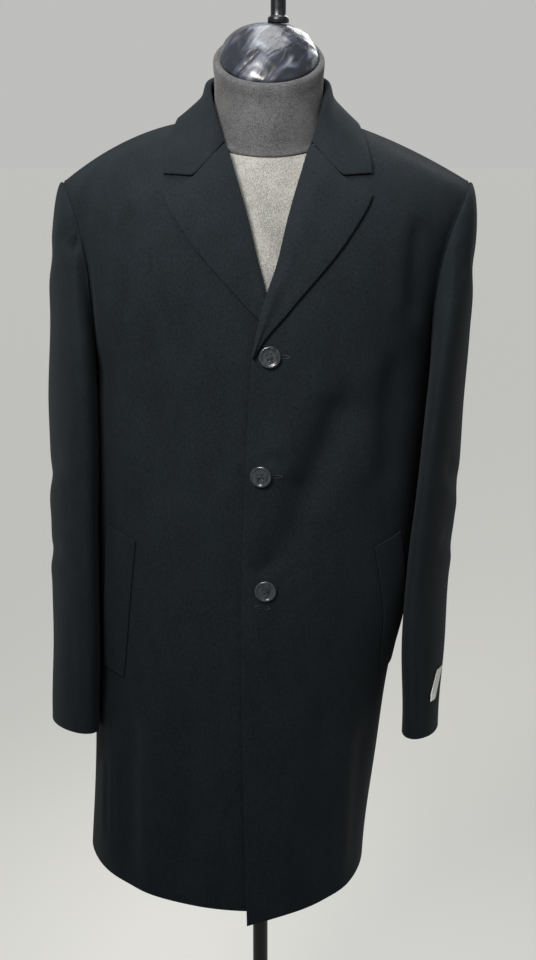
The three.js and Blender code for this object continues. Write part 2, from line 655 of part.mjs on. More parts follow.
// The whole sleeve: v from 0 to 1 is the cap, from 1 to 2 the arm.
function sleeveSurface(side) {
  const way = sideOf[side];
  return (q, v) => {
    if (v >= 1) return armPoint(side, q, v - 1);
    const seam = armhole(side, q);
    const ring = armPoint(side, q, 0);
    const top = Math.cos(2 * Math.PI * q);
    const under = Math.max(0, -top);
    const leave = unit([way * (1 - 0.75 * under), -0.75 * Math.sin(2 * Math.PI * q), 0.05 - under * 1.2]);
    const reach = 20 - 10 * under;
    const height = (seam[2] - ring[2]) * 0.42;
    const below = armPoint(side, q, 0.12);
    const fall = scale(unit(sub(ring, below)), height);
    return bezier(seam, add(seam, scale(leave, reach)), add(ring, fall), ring, v);
  };
}

const sleeveParts = {
  top: { from: -0.2, to: 0.28 },
  under: { from: 0.28, to: 0.8 },
};

function sleeveGeometry(side, part) {
  const { from, to } = sleeveParts[part];
  const surface = sleeveSurface(side);
  const gap = 0.0018;
  const columns = Math.round(sleeveSteps * (to - from));
  const us = evenKnots(columns + 1).map((u) => from + gap + u * (to - from - 2 * gap));
  const vs = [
    ...evenKnots(capSteps + 1).map((v) => v * v * 0.4 + v * 0.6),
    ...evenKnots(armSteps + 1).slice(1).map((v) => 1 + v),
  ];
  return clothWallOf(surface, sideOf[side], us, vs, 0, clothWall);
}

// ---------------------------------------------------------------- small hard pieces
function toManifold(geometry) {
  const bare = geometry.clone();
  bare.deleteAttribute('normal');
  bare.deleteAttribute('uv');
  const merged = mergeVertices(bare, 1e-4);
  const vertProperties = new Float32Array(merged.attributes.position.array);
  const triVerts = new Uint32Array(merged.index.array);
  return new wasm.Manifold(new wasm.Mesh({ numProp: 3, vertProperties, triVerts }));
}

function fromManifold(solid) {
  const { vertProperties, triVerts } = solid.getMesh();
  const geometry = new THREE.BufferGeometry();
  geometry.setAttribute('position', new THREE.BufferAttribute(vertProperties, 3));
  geometry.setIndex(new THREE.BufferAttribute(triVerts, 1));
  geometry.computeVertexNormals();
  return geometry;
}

// A dished button with a raised rim and four holes, its axis along Y.
function buttonGeometry() {
  const r = buttonRadius;
  const h = buttonHeight;
  const profile = [
    [0, 0], [r - 2, 0], [r - 0.4, 1.1], [r, 2], [r - 0.8, h - 0.2], [r - 2, h],
    [r - 3.6, h - 0.7], [r - 5, h - 1.5], [0, h - 1.5],
  ].map(([x, y]) => new THREE.Vector2(x, y));
  let solid = toManifold(new THREE.LatheGeometry(profile, 28));
  [[1, 1], [1, -1], [-1, 1], [-1, -1]].forEach(([x, z]) => {
    const drill = new THREE.CylinderGeometry(holeRadius, holeRadius, 3 * h, 8);
    drill.translate(x * holeSpread, 0, z * holeSpread);
    solid = solid.subtract(toManifold(drill));
  });
  return fromManifold(solid);
}

// ---------------------------------------------------------------- materials
const material = (color, roughness, metalness = 0) => new THREE.MeshStandardMaterial({ color, roughness, metalness });
const wool = material(0x14181b, 0.9);
const jersey = material(0x8f8f8d, 0.95);
const horn = material(0x2c3136, 0.25);
const labelWeave = material(0xa9a9a2, 0.8);
const darkGloss = material(0x12141b, 0.12);
const blackPaint = material(0x0c0c0d, 0.35, 0.4);
const steel = material(0x5b5d60, 0.3, 0.9);

function named(name, geometry, finish) {
  const mesh = new THREE.Mesh(geometry, finish);
  mesh.name = name;
  return mesh;
}

// ---------------------------------------------------------------- assembly
function coatPanels() {
  const us = evenKnots(panelColumns);
  const vs = evenKnots(panelRows);
  const pieces = [
    ['front_left', panels.frontLeft, pitV.front.left], ['front_right', panels.frontRight, pitV.front.right],
    ['back_left', panels.backLeft, pitV.back.left], ['back_right', panels.backRight, pitV.back.right],
  ];
  return pieces.map(([name, { surface, facing }, pit]) => {
    const isBack = name.startsWith('back');
    const squared = (normal, u, v) => {
      const [x, y, z] = normal;
      const onShoulder = v === 0 && !(isBack && u < neckShare);
      if (onShoulder || (u === 1 && v > pit - 0.01)) return unit([x, 0, z]);
      return isBack && u === 0 ? unit([0, y, z]) : normal;
    };
    return named(name, clothWallOf(surface, facing, us, vs, 0, clothWall, squared), wool);
  });
}

function coatTrims() {
  return ['left', 'right'].flatMap((side) => [
    named(`lapel_${side}`, lapelGeometry(side), wool),
    named(`welt_${side}`, weltGeometry(side), wool),
    named(`sleeve_${side}_top`, sleeveGeometry(side, 'top'), wool),
    named(`sleeve_${side}_under`, sleeveGeometry(side, 'under'), wool),
  ]);
}

function buttons() {
  return Object.entries(buttonPlaces).map(([name, place]) => {
    const button = named(`button_${name}`, buttonGeometry(), horn);
    const spot = placeOn(panels.frontLeft, place);
    const out = normalAt(panels.frontLeft.surface, ...spot, -1);
    button.position.set(...add(panels.frontLeft.surface(...spot), scale(out, buttonLift)));
    button.quaternion.setFromUnitVectors(new THREE.Vector3(0, 1, 0), new THREE.Vector3(...out));
    return button;
  });
}

// The woven tab, tacked on the outer front of the left sleeve above the cuff.
function sleeveLabel() {
  const sleeve = sleeveSurface('left');
  const round = 380;
  const middle = { q: 0.1, v: 1.85 };
  const long = 397;
  const surface = (u, v) => sleeve(
    middle.q + ((u - 0.5) * labelSize.wide) / round,
    middle.v + ((v - 0.5) * labelSize.tall) / long,
  );
  const lift = seamGap + 0.1 + labelSize.wall;
  return named('sleeve_label', clothWallOf(surface, 1, evenKnots(4), evenKnots(5), lift, labelSize.wall), labelWeave);
}

function turned(profile, steps) {
  return new THREE.LatheGeometry(profile.map(([r, z]) => new THREE.Vector2(r, z)), steps).rotateX(Math.PI / 2);
}

function dressForm() {
  const { x, y, foot, top, radius, collar, collarTop } = finial;
  const stem = [
    [0, foot], [collar, foot], [collar, collarTop - 2], [collar - 2, collarTop], [radius, collarTop + 1],
    [radius, top - 4], [radius - 3, top], [0, top],
  ];
  const finialMesh = named('neck_finial', turned(stem, 24), steel);
  finialMesh.position.set(x, y, 0);
  return [
    named('form_torso', solidThrough(formSections, 32, 20, 0), jersey),
    named('form_neck', solidThrough(neckSections, 32, 8, neckShift), jersey),
    named('neck_cap', solidThrough(capSections, 28, 9, neckShift), darkGloss),
    finialMesh,
  ];
}

function stand() {
  const shaft = new THREE.CylinderGeometry(pole.radius, pole.radius, pole.top - pole.foot, 24);
  shaft.rotateX(Math.PI / 2).translate(0, 0, (pole.top + pole.foot) / 2);
  const plate = [
    [0, 0], [base.radius - 1, 0], [base.radius, 1], [base.radius, base.edge - 1], [base.radius - 3, base.edge],
    [base.hubRadius + 30, base.thick - 1], [base.hubRadius, base.thick], [base.hubRadius - 4, base.hubHeight],
    [0, base.hubHeight],
  ];
  return [named('stand_pole', shaft, blackPaint), named('stand_base', turned(plate, 48), blackPaint)];
}

const dressed = new THREE.Group();
dressed.position.x = formOffset;
const collar = named('collar', collarGeometry(), wool);
dressed.add(...coatPanels(), collar, ...coatTrims(), ...buttons(), sleeveLabel(), ...dressForm());

const topcoat = new THREE.Group();
topcoat.add(dressed, ...stand());
topcoat.updateMatrixWorld(true);

export default topcoat;
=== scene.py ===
import math
import bpy
import numpy as np
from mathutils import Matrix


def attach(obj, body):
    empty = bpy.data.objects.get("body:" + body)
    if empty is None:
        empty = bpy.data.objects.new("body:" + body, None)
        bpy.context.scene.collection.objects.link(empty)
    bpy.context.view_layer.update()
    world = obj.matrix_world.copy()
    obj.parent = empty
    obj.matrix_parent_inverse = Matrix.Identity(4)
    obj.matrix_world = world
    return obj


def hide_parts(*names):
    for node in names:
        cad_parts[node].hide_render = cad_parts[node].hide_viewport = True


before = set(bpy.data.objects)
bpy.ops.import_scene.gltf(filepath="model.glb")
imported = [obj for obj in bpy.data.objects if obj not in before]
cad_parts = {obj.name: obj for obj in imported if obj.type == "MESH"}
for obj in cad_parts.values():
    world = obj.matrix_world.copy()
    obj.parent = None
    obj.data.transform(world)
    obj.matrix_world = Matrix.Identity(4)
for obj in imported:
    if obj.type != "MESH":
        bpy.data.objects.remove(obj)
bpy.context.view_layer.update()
print("frame loaded")

# Sizes are in millimetres, +Z up, the coat's front faces -Y and the wearer's left is +X.
# The dressed form stands a little to the wearer's left of its pole.
shared = {"millimetre": 0.001, "formOffset": 10.0}
sideOf = {"left": 1, "right": -1}


# camera
camera = {"place": (0.010, -2.0, 1.5), "tiltDegrees": 78.0, "lens": 62.4, "sensor": 36.0}
view = bpy.data.cameras.new("studioCamera")
view.lens = camera["lens"]
view.sensor_width = camera["sensor"]
viewObject = bpy.data.objects.new("studioCamera", view)
viewObject.location = camera["place"]
viewObject.rotation_euler = (math.radians(camera["tiltDegrees"]), 0, 0)
bpy.context.scene.collection.objects.link(viewObject)
bpy.context.scene.camera = viewObject


# numbers and curves
def clamp(value, low, high):
    return np.minimum(high, np.maximum(low, value))


def ease(t):
    # 3 t^2 - 2 t^3
    return t * t * (3 - 2 * t)


def unit(vectors):
    return vectors / np.maximum(np.linalg.norm(vectors, axis=-1, keepdims=True), 1e-9)


def bell(distance, width):
    # exp(-(distance / width)^2)
    return np.exp(-((distance / width) ** 2))


def knotsAlong(points):
    # running length of a chain of points, as a share of the whole
    steps = np.linalg.norm(np.diff(np.asarray(points, float), axis=0), axis=1)
    run = np.concatenate([[0], np.cumsum(steps)])
    return run / run[-1]


def through(knots, rows, t):
    # Cubic through rows at their knots. Each slope is the harmonic mean of its neighbours'
    # rates and nil where they differ in sign, so the curve never swings past a row.
    rows = np.asarray(rows, float)
    t = np.atleast_1d(np.asarray(t, float))
    gaps = np.diff(knots).reshape(-1, *[1] * (rows.ndim - 1))
    rates = np.diff(rows, axis=0) / gaps
    before, after = rates[:-1], rates[1:]
    total = before + after
    mean = 2 * before * after / np.where(np.abs(total) < 1e-12, 1e-12, total)
    middle = np.where(before * after > 0, mean, 0)
    slopes = np.concatenate([rates[:1], middle, rates[-1:]])
    i = np.clip(np.searchsorted(knots, t, side="right") - 1, 0, len(knots) - 2)
    span = (knots[i + 1] - knots[i])[:, None]
    s = (t[:, None] - knots[i][:, None]) / span
    each = np.arange(len(i))
    pick = (lambda table, k: table[k]) if rows.ndim == 2 else (lambda table, k: table[k, each])
    low, high = pick(rows, i), pick(rows, i + 1)
    leave = s * (1 - s) ** 2 * span * pick(slopes, i)
    arrive = s * s * (s - 1) * span * pick(slopes, i + 1)
    return low + (high - low) * ease(s) + leave + arrive


def bezier(handles, t):
    # cubic curve: handles are (..., 4, 3), t runs along a new axis before the last
    t = np.atleast_1d(t)[:, None]
    s = 1 - t
    p = [handles[..., k, :][..., None, :] for k in range(4)]
    return p[0] * s**3 + p[1] * 3 * s * s * t + p[2] * 3 * s * t * t + p[3] * t**3


def fromBefore(handles, share):
    # the same cubic, begun the given share before its start
    mix = lambda p, q: p + (q - p) * -share
    a, b, c = (mix(handles[k], handles[k + 1]) for k in range(3))
    d, e = mix(a, b), mix(b, c)
    return np.array([mix(d, e), e, c, handles[3]])


def gridNormals(grid):
    # cross product of the steps across and down the grid
    return unit(np.cross(np.gradient(grid, axis=1), np.gradient(grid, axis=0)))


def smoothed(grid, passes):
    # each row moves to a quarter, a half and a quarter of its neighbours
    grid = grid.copy()
    for _ in range(passes):
        grid[1:-1] = grid[:-2] / 4 + grid[1:-1] / 2 + grid[2:] / 4
    return grid


# creases: how squarely they must be seen, their even and fading lengths, and the ridge beside
creaseShape = {"sight": 2.2, "even": 0.3, "fade": 0.16, "ridgeAt": 1.9, "ridgeWidth": 1.1}


def creaseHeight(creases, view, points, normals):
    # A crease runs between two places of one view. Its section is a bell: depth below the
    # cloth, with skew as a share for the ridge beside it. It fades towards its ends.
    shape = creaseShape
    axis, way = {"front": (0, -1), "back": (0, 1), "left": (1, 1), "right": (1, -1)}[view]
    seen = clamp(normals[..., 1 - axis] * way * shape["sight"], 0, 1)
    height = np.zeros(points.shape[:-1])
    for start, end, width, depth, skew, bow in creases:
        run = np.subtract(end, start)
        length = np.hypot(*run)
        x = points[..., axis] - start[0]
        z = points[..., 2] - start[1]
        along = (x * run[0] + z * run[1]) / length**2
        off = (x * run[1] - z * run[0]) / length - bow * (1 - (2 * along - 1) ** 2)
        fade = bell(np.maximum(np.abs(along - 0.5) - shape["even"], 0), shape["fade"])
        ridge = bell(off - shape["ridgeAt"] * width, shape["ridgeWidth"] * width)
        height -= depth * fade * (bell(off, width) - skew * ridge)
    return height * seen


def unevenness(points, size, seed):
    # three slow waves, so that no stretch of cloth is quite flat
    turn = np.array([[0.031, 0.012, 0.017], [-0.013, 0.021, 0.034], [0.022, -0.017, -0.027]])
    phases = points @ (turn * (1 + 0.13 * seed)).T + seed
    return size * np.sin(phases).mean(axis=-1)


# meshes
def finish(name, points, faceSets, material, slot, nodes, uv=None, offset=shared["formOffset"]):
    placed = (points + np.array([offset, 0, 0])) * shared["millimetre"]
    mesh = bpy.data.meshes.new(name)
    mesh.from_pydata(placed.tolist(), [], [face for faces in faceSets for face in faces.tolist()])
    mesh.update()
    if uv is not None:
        corners = np.zeros(len(mesh.loops), np.int32)
        mesh.loops.foreach_get("vertex_index", corners)
        layer = mesh.uv_layers.new(name="clothLengths")
        layer.data.foreach_set("uv", (uv[corners] * shared["millimetre"]).ravel())
    mesh.shade_smooth()
    mesh.materials.append(material)
    piece = bpy.data.objects.new(name, mesh)
    bpy.context.scene.collection.objects.link(piece)
    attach(piece, "root")
    if nodes:
        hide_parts(*nodes)
    return piece


def isInsideOut(points, quads):
    # a closed mesh holds a positive volume when its faces point out
    a, b, c, d = (points[quads[:, k]] for k in range(4))
    return (a * np.cross(b, c)).sum() + (a * np.cross(c, d)).sum() < 0


def band(low, high):
    # faces between two rings of points, each ring closed on itself
    return np.stack([low, np.roll(low, -1), np.roll(high, -1), high], axis=1)


def roundedEdge(middle, half, beside, steps):
    # the border drawn in by half the wall, and rings of a half circle round it
    away = middle - beside
    reach = np.minimum(np.linalg.norm(half, axis=1), 0.45 * np.linalg.norm(away, axis=1))[:, None]
    away = unit(away)
    centre = middle - away * reach
    angles = [math.pi * k / (steps + 1) for k in range(1, steps + 1)]
    return centre, [centre + half * math.cos(angle) + away * reach * math.sin(angle) for angle in angles]


def shell(outer, inner, steps=3):
    # Two grids joined round their border by a half round edge, as pressed cloth has.
    rows, cols = outer.shape[:2]
    across, down = np.arange(cols), np.arange(rows)
    i = np.concatenate([0 * across, down[1:], 0 * across[1:] + rows - 1, down[-2:0:-1]])
    j = np.concatenate([across, 0 * down[1:] + cols - 1, across[-2::-1], 0 * down[2:]])
    middle = (outer + inner) / 2
    half = (outer[i, j] - inner[i, j]) / 2
    beside = middle[np.clip(i, 1, rows - 2), np.clip(j, 1, cols - 2)]
    centre, rings = roundedEdge(middle[i, j], half, beside, steps)
    outer, inner = outer.copy(), inner.copy()
    outer[i, j] = centre + half
    inner[i, j] = centre - half
    points = np.concatenate([outer.reshape(-1, 3), inner.reshape(-1, 3), *rings])
    count, loop = rows * cols, len(i)
    cell = (down[:-1, None] * cols + across[:-1]).ravel()
    top = np.stack([cell, cell + cols, cell + cols + 1, cell + 1], axis=1)
    rim = i * cols + j
    chain = [rim, *(2 * count + k * loop + np.arange(loop) for k in range(steps)), count + rim]
    quads = np.concatenate([top, top[:, ::-1] + count, *map(band, chain[:-1], chain[1:])])
    # lengths along the cloth, across and down
    run = np.linalg.norm(np.diff(middle, axis=1), axis=2)
    drop = np.linalg.norm(np.diff(middle, axis=0), axis=2)
    across = np.pad(np.cumsum(run, axis=1), ((0, 0), (1, 0)))
    flat = np.stack([across, np.pad(np.cumsum(drop, axis=0), ((1, 0), (0, 0)))], axis=-1)
    uv = np.concatenate([flat.reshape(-1, 2)] * 2 + [flat[i, j]] * steps)
    return points, [quads[:, ::-1] if isInsideOut(points, quads) else quads], uv


def sleeveShell(outer, inner, steps=3):
    # The same for grids that close on themselves across: a border at the top and the bottom.
    rows, cols = outer.shape[:2]
    middle, half = (outer + inner) / 2, (outer - inner) / 2
    outer, inner = outer.copy(), inner.copy()
    count = rows * cols
    here = np.arange(cols)
    down = np.arange(rows - 1)[:, None] * cols
    a, b = (down + here).ravel(), (down + np.roll(here, -1)).ravel()
    top = np.stack([a, a + cols, b + cols, b], axis=1)
    quads, rings, start = [top, top[:, ::-1] + count], [], 2 * count
    for row, beside in ((0, 1), (rows - 1, rows - 2)):
        centre, edge = roundedEdge(middle[row], half[row], middle[beside], steps)
        outer[row], inner[row] = centre + half[row], centre - half[row]
        rim = row * cols + here
        chain = [rim, *(start + k * cols + here for k in range(steps)), count + rim]
        for side in map(band, chain[:-1], chain[1:]):
            quads.append(side if row == 0 else side[:, ::-1])
        rings += edge
        start += steps * cols
    points = np.concatenate([outer.reshape(-1, 3), inner.reshape(-1, 3), *rings])
    quads = np.concatenate(quads)
    return points, [quads[:, ::-1] if isInsideOut(points, quads) else quads]


def closedRings(rings):
    # rings of equal length joined in order, each end closed to its middle point
    layers, segments = rings.shape[:2]
    ends = [rings[0].mean(axis=0)[None], rings[-1].mean(axis=0)[None]]
    points = np.concatenate([rings.reshape(-1, 3), *ends])
    here = np.arange(segments)
    after = np.roll(here, -1)
    quads = np.concatenate([band(k * segments + here, (k + 1) * segments + here) for k in range(layers - 1)])
    first, rim = layers * segments, (layers - 1) * segments
    caps = np.concatenate([
        np.stack([0 * here + first, after, here], axis=1),
        np.stack([0 * here + first + 1, rim + here, rim + after], axis=1),
    ])
    faceSets = [quads, caps]
    return points, [faces[:, ::-1] for faces in faceSets] if isInsideOut(points, quads) else faceSets


def turnedSurface(profile, segments, centre):
    # profile rows are (radius, height), carried once round the vertical axis
    angles = np.linspace(0, 2 * math.pi, segments, endpoint=False)
    x = centre[0] + profile[:, :1] * np.cos(angles)
    y = centre[1] + profile[:, :1] * np.sin(angles)
    z = np.repeat(profile[:, 1:], segments, axis=1)
    return closedRings(np.stack([x, y, z], axis=-1))


def tube(path, radius, segments):
    # a round section carried along a path, its frame kept square to the path
    tangent = unit(np.gradient(path, axis=0))
    isUpright = abs(tangent[0][2]) >= 0.9
    side = unit(np.cross(tangent, [0.0, 1.0, 0.0] if isUpright else [0.0, 0.0, 1.0]))[:, None]
    up = np.cross(side, tangent[:, None])
    angles = np.linspace(0, 2 * math.pi, segments, endpoint=False)[:, None]
    return closedRings(path[:, None] + radius * (side * np.cos(angles) + up * np.sin(angles)))


def joined(parts):
    starts = np.cumsum([0] + [len(points) for points, _ in parts])
    faceSets = [faces + start for (_, sets), start in zip(parts, starts) for faces in sets]
    return np.concatenate([points for points, _ in parts]), faceSets


# materials
def hexColour(text):
    # sRGB hex turned to linear
    srgb = np.array([int(text[k:k + 2], 16) for k in (1, 3, 5)]) / 255
    linear = np.where(srgb <= 0.04045, srgb / 12.92, ((srgb + 0.055) / 1.055) ** 2.4)
    return (*linear.tolist(), 1.0)


def connect(tree, node, inputs):
    # each input is set to a value or linked to a socket
    for name, value in inputs.items():
        if isinstance(value, bpy.types.NodeSocket):
            tree.links.new(value, node.inputs[name])
        else:
            node.inputs[name].default_value = value


def addNode(tree, kind, inputs=None, settings=None):
    node = tree.nodes.new("ShaderNode" + kind)
    for name, value in (settings or {}).items():
        setattr(node, name, value)
    connect(tree, node, inputs or {})
    return node


def startMaterial(name):
    material = bpy.data.materials.new(name)
    material.use_nodes = True
    tree = material.node_tree
    tree.nodes.clear()
    output = addNode(tree, "OutputMaterial")
    shader = addNode(tree, "BsdfPrincipled")
    tree.links.new(shader.outputs["BSDF"], output.inputs["Surface"])
    return material, tree, shader


def objectPlace(tree, scale=None):
    # object coordinates in metres, scaled unevenly where a pattern is drawn out
    place = addNode(tree, "TexCoord").outputs["Object"]
    return addNode(tree, "Mapping", {"Vector": place, "Scale": scale}).outputs["Vector"] if scale else place


def noise(tree, place, grain, detail, **more):
    # cloudy pattern with grains of the given millimetres
    inputs = {"Vector": place, "Scale": 1000 / grain, "Detail": detail, **more}
    return addNode(tree, "TexNoise", inputs).outputs["Fac"]


def ribs(tree, place, gap, direction, distortion):
    # even ribs, the given millimetres apart; a wave texture repeats 3.14 times for its scale
    inputs = {"Vector": place, "Scale": 314 / gap, "Distortion": distortion}
    return addNode(tree, "TexWave", inputs, {"wave_type": "BANDS", "bands_direction": direction}).outputs["Fac"]


def arithmetic(tree, operation, *values):
    return addNode(tree, "Math", dict(enumerate(values)), {"operation": operation}).outputs[0]


def bump(tree, height, strength, distance):
    return addNode(tree, "Bump", {"Height": height, "Strength": strength, "Distance": distance}).outputs["Normal"]


def colours(tree, factor, *stops):
    # a ramp through stops of (place, hex colour)
    ramp = addNode(tree, "ValToRGB", {"Fac": factor})
    elements = ramp.color_ramp.elements
    elements[0].position, elements[0].color = stops[0][0], hexColour(stops[0][1])
    elements[1].position, elements[1].color = stops[-1][0], hexColour(stops[-1][1])
    for place, colour in stops[1:-1]:
        elements.new(place).color = hexColour(colour)
    return ramp.outputs["Color"]


# Wool melton, milled and brushed: a short nap hides the weave and gives a dull bloom
# where the cloth turns away. Its fibres are 0.02 mm thick and don't show, so the nap is
# drawn 1.6 mm coarse, and a softer cloudiness of 25 mm is where the nap was stroked.
woolLook = {"dark": "#080b0e", "light": "#13191d", "nap": 1.6, "cloud": 25.0, "bump": 0.5, "rough": 0.88}


def woolMelton(name, look):
    material, tree, shader = startMaterial(name)
    strokes = objectPlace(tree, (1.0, 1.0, 0.45))
    nap = noise(tree, strokes, look["nap"], 3.0, Roughness=0.65)
    faint = arithmetic(tree, "MULTIPLY", noise(tree, strokes, look["cloud"], 2.0), 0.22)
    share = arithmetic(tree, "ADD", arithmetic(tree, "MULTIPLY", nap, 0.78), faint)
    connect(tree, shader, {
        "Base Color": colours(tree, share, (0.3, look["dark"]), (0.7, look["light"])),
        "Roughness": look["rough"], "Normal": bump(tree, nap, look["bump"], 0.0006), "Specular IOR Level": 0.08,
        "Sheen Weight": 0.05, "Sheen Roughness": 0.5, "Sheen Tint": hexColour("#8f9ba3"),
    })
    return material


# Heathered cotton jersey: grey and pale fibres spun together, so it is speckled at 1 mm
# and the fine ribs of its knit, 1.3 mm apart, run down it.
jerseyLook = {"dark": "#4e4f4d", "light": "#7c7d7a", "speck": 1.1, "cloud": 1000 / 38, "rib": 1.3, "rough": 0.92}
# The neck's copy of this jersey is coloured darker than the chest's. This is painted shade for the upright neck,
# which the light from above only grazes.
shadedNeckJerseyLook = {**jerseyLook, "dark": "#232426", "light": "#454648"}


def heatherJersey(name, look):
    material, tree, shader = startMaterial(name)
    place = objectPlace(tree)
    speck = noise(tree, place, look["speck"], 3.0, Roughness=0.7)
    both = arithmetic(tree, "MULTIPLY_ADD", noise(tree, place, look["cloud"], 2.0), 0.25, speck)
    share = arithmetic(tree, "MULTIPLY", both, 0.8)
    height = arithmetic(tree, "ADD", ribs(tree, place, look["rib"], "X", 0.4), speck)
    connect(tree, shader, {
        "Base Color": colours(tree, share, (0.41, look["dark"]), (0.59, look["light"])),
        "Roughness": look["rough"], "Normal": bump(tree, height, 0.3, 0.0004),
        "Specular IOR Level": 0.2, "Sheen Weight": 0.08, "Sheen Roughness": 0.5,
    })
    return material


# Polished polyester resin cast to look like dark horn: a hard clean gloss over faint
# cloudy streaks about 4 mm wide.
hornLook = {"dark": "#0e1114", "light": "#2a2f35", "streak": 4.0, "rough": 0.24}


def castHorn(name, look):
    material, tree, shader = startMaterial(name)
    streak = noise(tree, objectPlace(tree, (1.0, 1.0, 0.35)), look["streak"], 4.0, Distortion=0.8)
    connect(tree, shader, {
        "Base Color": colours(tree, streak, (0.35, look["dark"]), (0.7, look["light"])),
        "Roughness": look["rough"], "Specular IOR Level": 0.38, "Coat Weight": 0.15, "Coat Roughness": 0.12,
    })
    return material


# Dark lacquered cap under thin clear film: the film's creases catch the light in long
# slips. The pale colour lies on the crests of those slips, partly milky doubled film and partly painted highlight.
filmLook = {
    "lacquer": "#12151d", "between": "#2a2e39", "milkAndHighlight": "#4a4f57", "slip": 18.2, "fine": 1000 / 120, "lean": 0.7,
    "rough": 0.32,
}


def filmedLacquer(name, look):
    material, tree, shader = startMaterial(name)
    drawn = {"Vector": objectPlace(tree), "Rotation": (0.0, look["lean"], 0.0), "Scale": (1.0, 1.4, 4.0)}
    leaning = addNode(tree, "Mapping", drawn, {"vector_type": "TEXTURE"}).outputs["Vector"]
    slips = noise(tree, leaning, look["slip"], 1.0, Distortion=0.9)
    height = arithmetic(tree, "ADD", slips, noise(tree, leaning, look["fine"], 1.5, Distortion=0.4))
    connect(tree, shader, {
        # the pale stop follows the crease crests: milky film and painted highlight
        "Base Color": colours(tree, slips, (0.5, look["lacquer"]), (0.6, look["between"]), (0.68, look["milkAndHighlight"])),
        "Roughness": look["rough"], "Normal": bump(tree, height, 0.55, 0.003),
        "Specular IOR Level": 0.3, "Coat Weight": 0.22, "Coat Roughness": 0.12,
    })
    return material


# Satin black enamel on steel: smooth, with the faint orange peel of sprayed paint, 6 mm.
enamelLook = {"base": "#070708", "worn": "#0f0f10", "peel": 6.0, "dust": 1000 / 30, "rough": 0.42}


def satinEnamel(name, look):
    material, tree, shader = startMaterial(name)
    place = objectPlace(tree)
    dust = noise(tree, place, look["dust"], 4.0)
    connect(tree, shader, {
        "Base Color": colours(tree, dust, (0.4, look["base"]), (0.75, look["worn"])), "Roughness": look["rough"],
        "Normal": bump(tree, noise(tree, place, look["peel"], 1.0), 0.12, 0.0005), "Specular IOR Level": 0.25,
    })
    return material


# Turned and brushed steel: rings of fine tool marks 0.8 mm apart round its axis.
steelLook = {"base": "#3c3e41", "dull": "#26272a", "mark": 0.8, "rough": 0.32}


def turnedSteel(name, look):
    material, tree, shader = startMaterial(name)
    marks = noise(tree, objectPlace(tree, (0.05, 0.05, 1.0)), look["mark"], 3.0)
    connect(tree, shader, {
        "Base Color": colours(tree, marks, (0.35, look["dull"]), (0.65, look["base"])),
        "Metallic": 1.0, "Roughness": look["rough"], "Normal": bump(tree, marks, 0.2, 0.0003),
    })
    return material


# Woven polyester tape: pale ribs across it, 0.9 mm apart, dull.
tapeLook = {"dark": "#a3a49e", "light": "#cfd0ca", "rib": 0.9, "rough": 0.8}


def wovenTape(name, look):
    material, tree, shader = startMaterial(name)
    lengths = addNode(tree, "UVMap", None, {"uv_map": "clothLengths"}).outputs["UV"]
    weave = ribs(tree, lengths, look["rib"], "Y", 0.3)
    connect(tree, shader, {
        "Base Color": colours(tree, weave, (0.2, look["dark"]), (0.8, look["light"])),
        "Roughness": look["rough"], "Normal": bump(tree, weave, 0.4, 0.0003),
    })
    return material


# Spun polyester sewing thread: a little paler than the cloth, its twist 0.6 mm long.
threadLook = {"dark": "#14171a", "light": "#2e3439", "twist": 0.6, "rough": 0.7}


def spunThread(name, look):
    material, tree, shader = startMaterial(name)
    twist = noise(tree, objectPlace(tree), look["twist"], 2.0)
    connect(tree, shader, {
        "Base Color": colours(tree, twist, (0.35, look["dark"]), (0.65, look["light"])),
        "Roughness": look["rough"], "Specular IOR Level": 0.2,
    })
    return material


wool = woolMelton("woolMelton", woolLook)
jersey = heatherJersey("heatherJersey", jerseyLook)
shadedNeckJersey = heatherJersey("heatherJerseyPaintedShade", shadedNeckJerseyLook)
horn = castHorn("castHorn", hornLook)
film = filmedLacquer("filmedLacquer", filmLook)
enamel = satinEnamel("satinEnamel", enamelLook)
steel = turnedSteel("turnedSteel", steelLook)
tape = wovenTape("wovenTape", tapeLook)
thread = spunThread("spunThread", threadLook)
print("materials made")

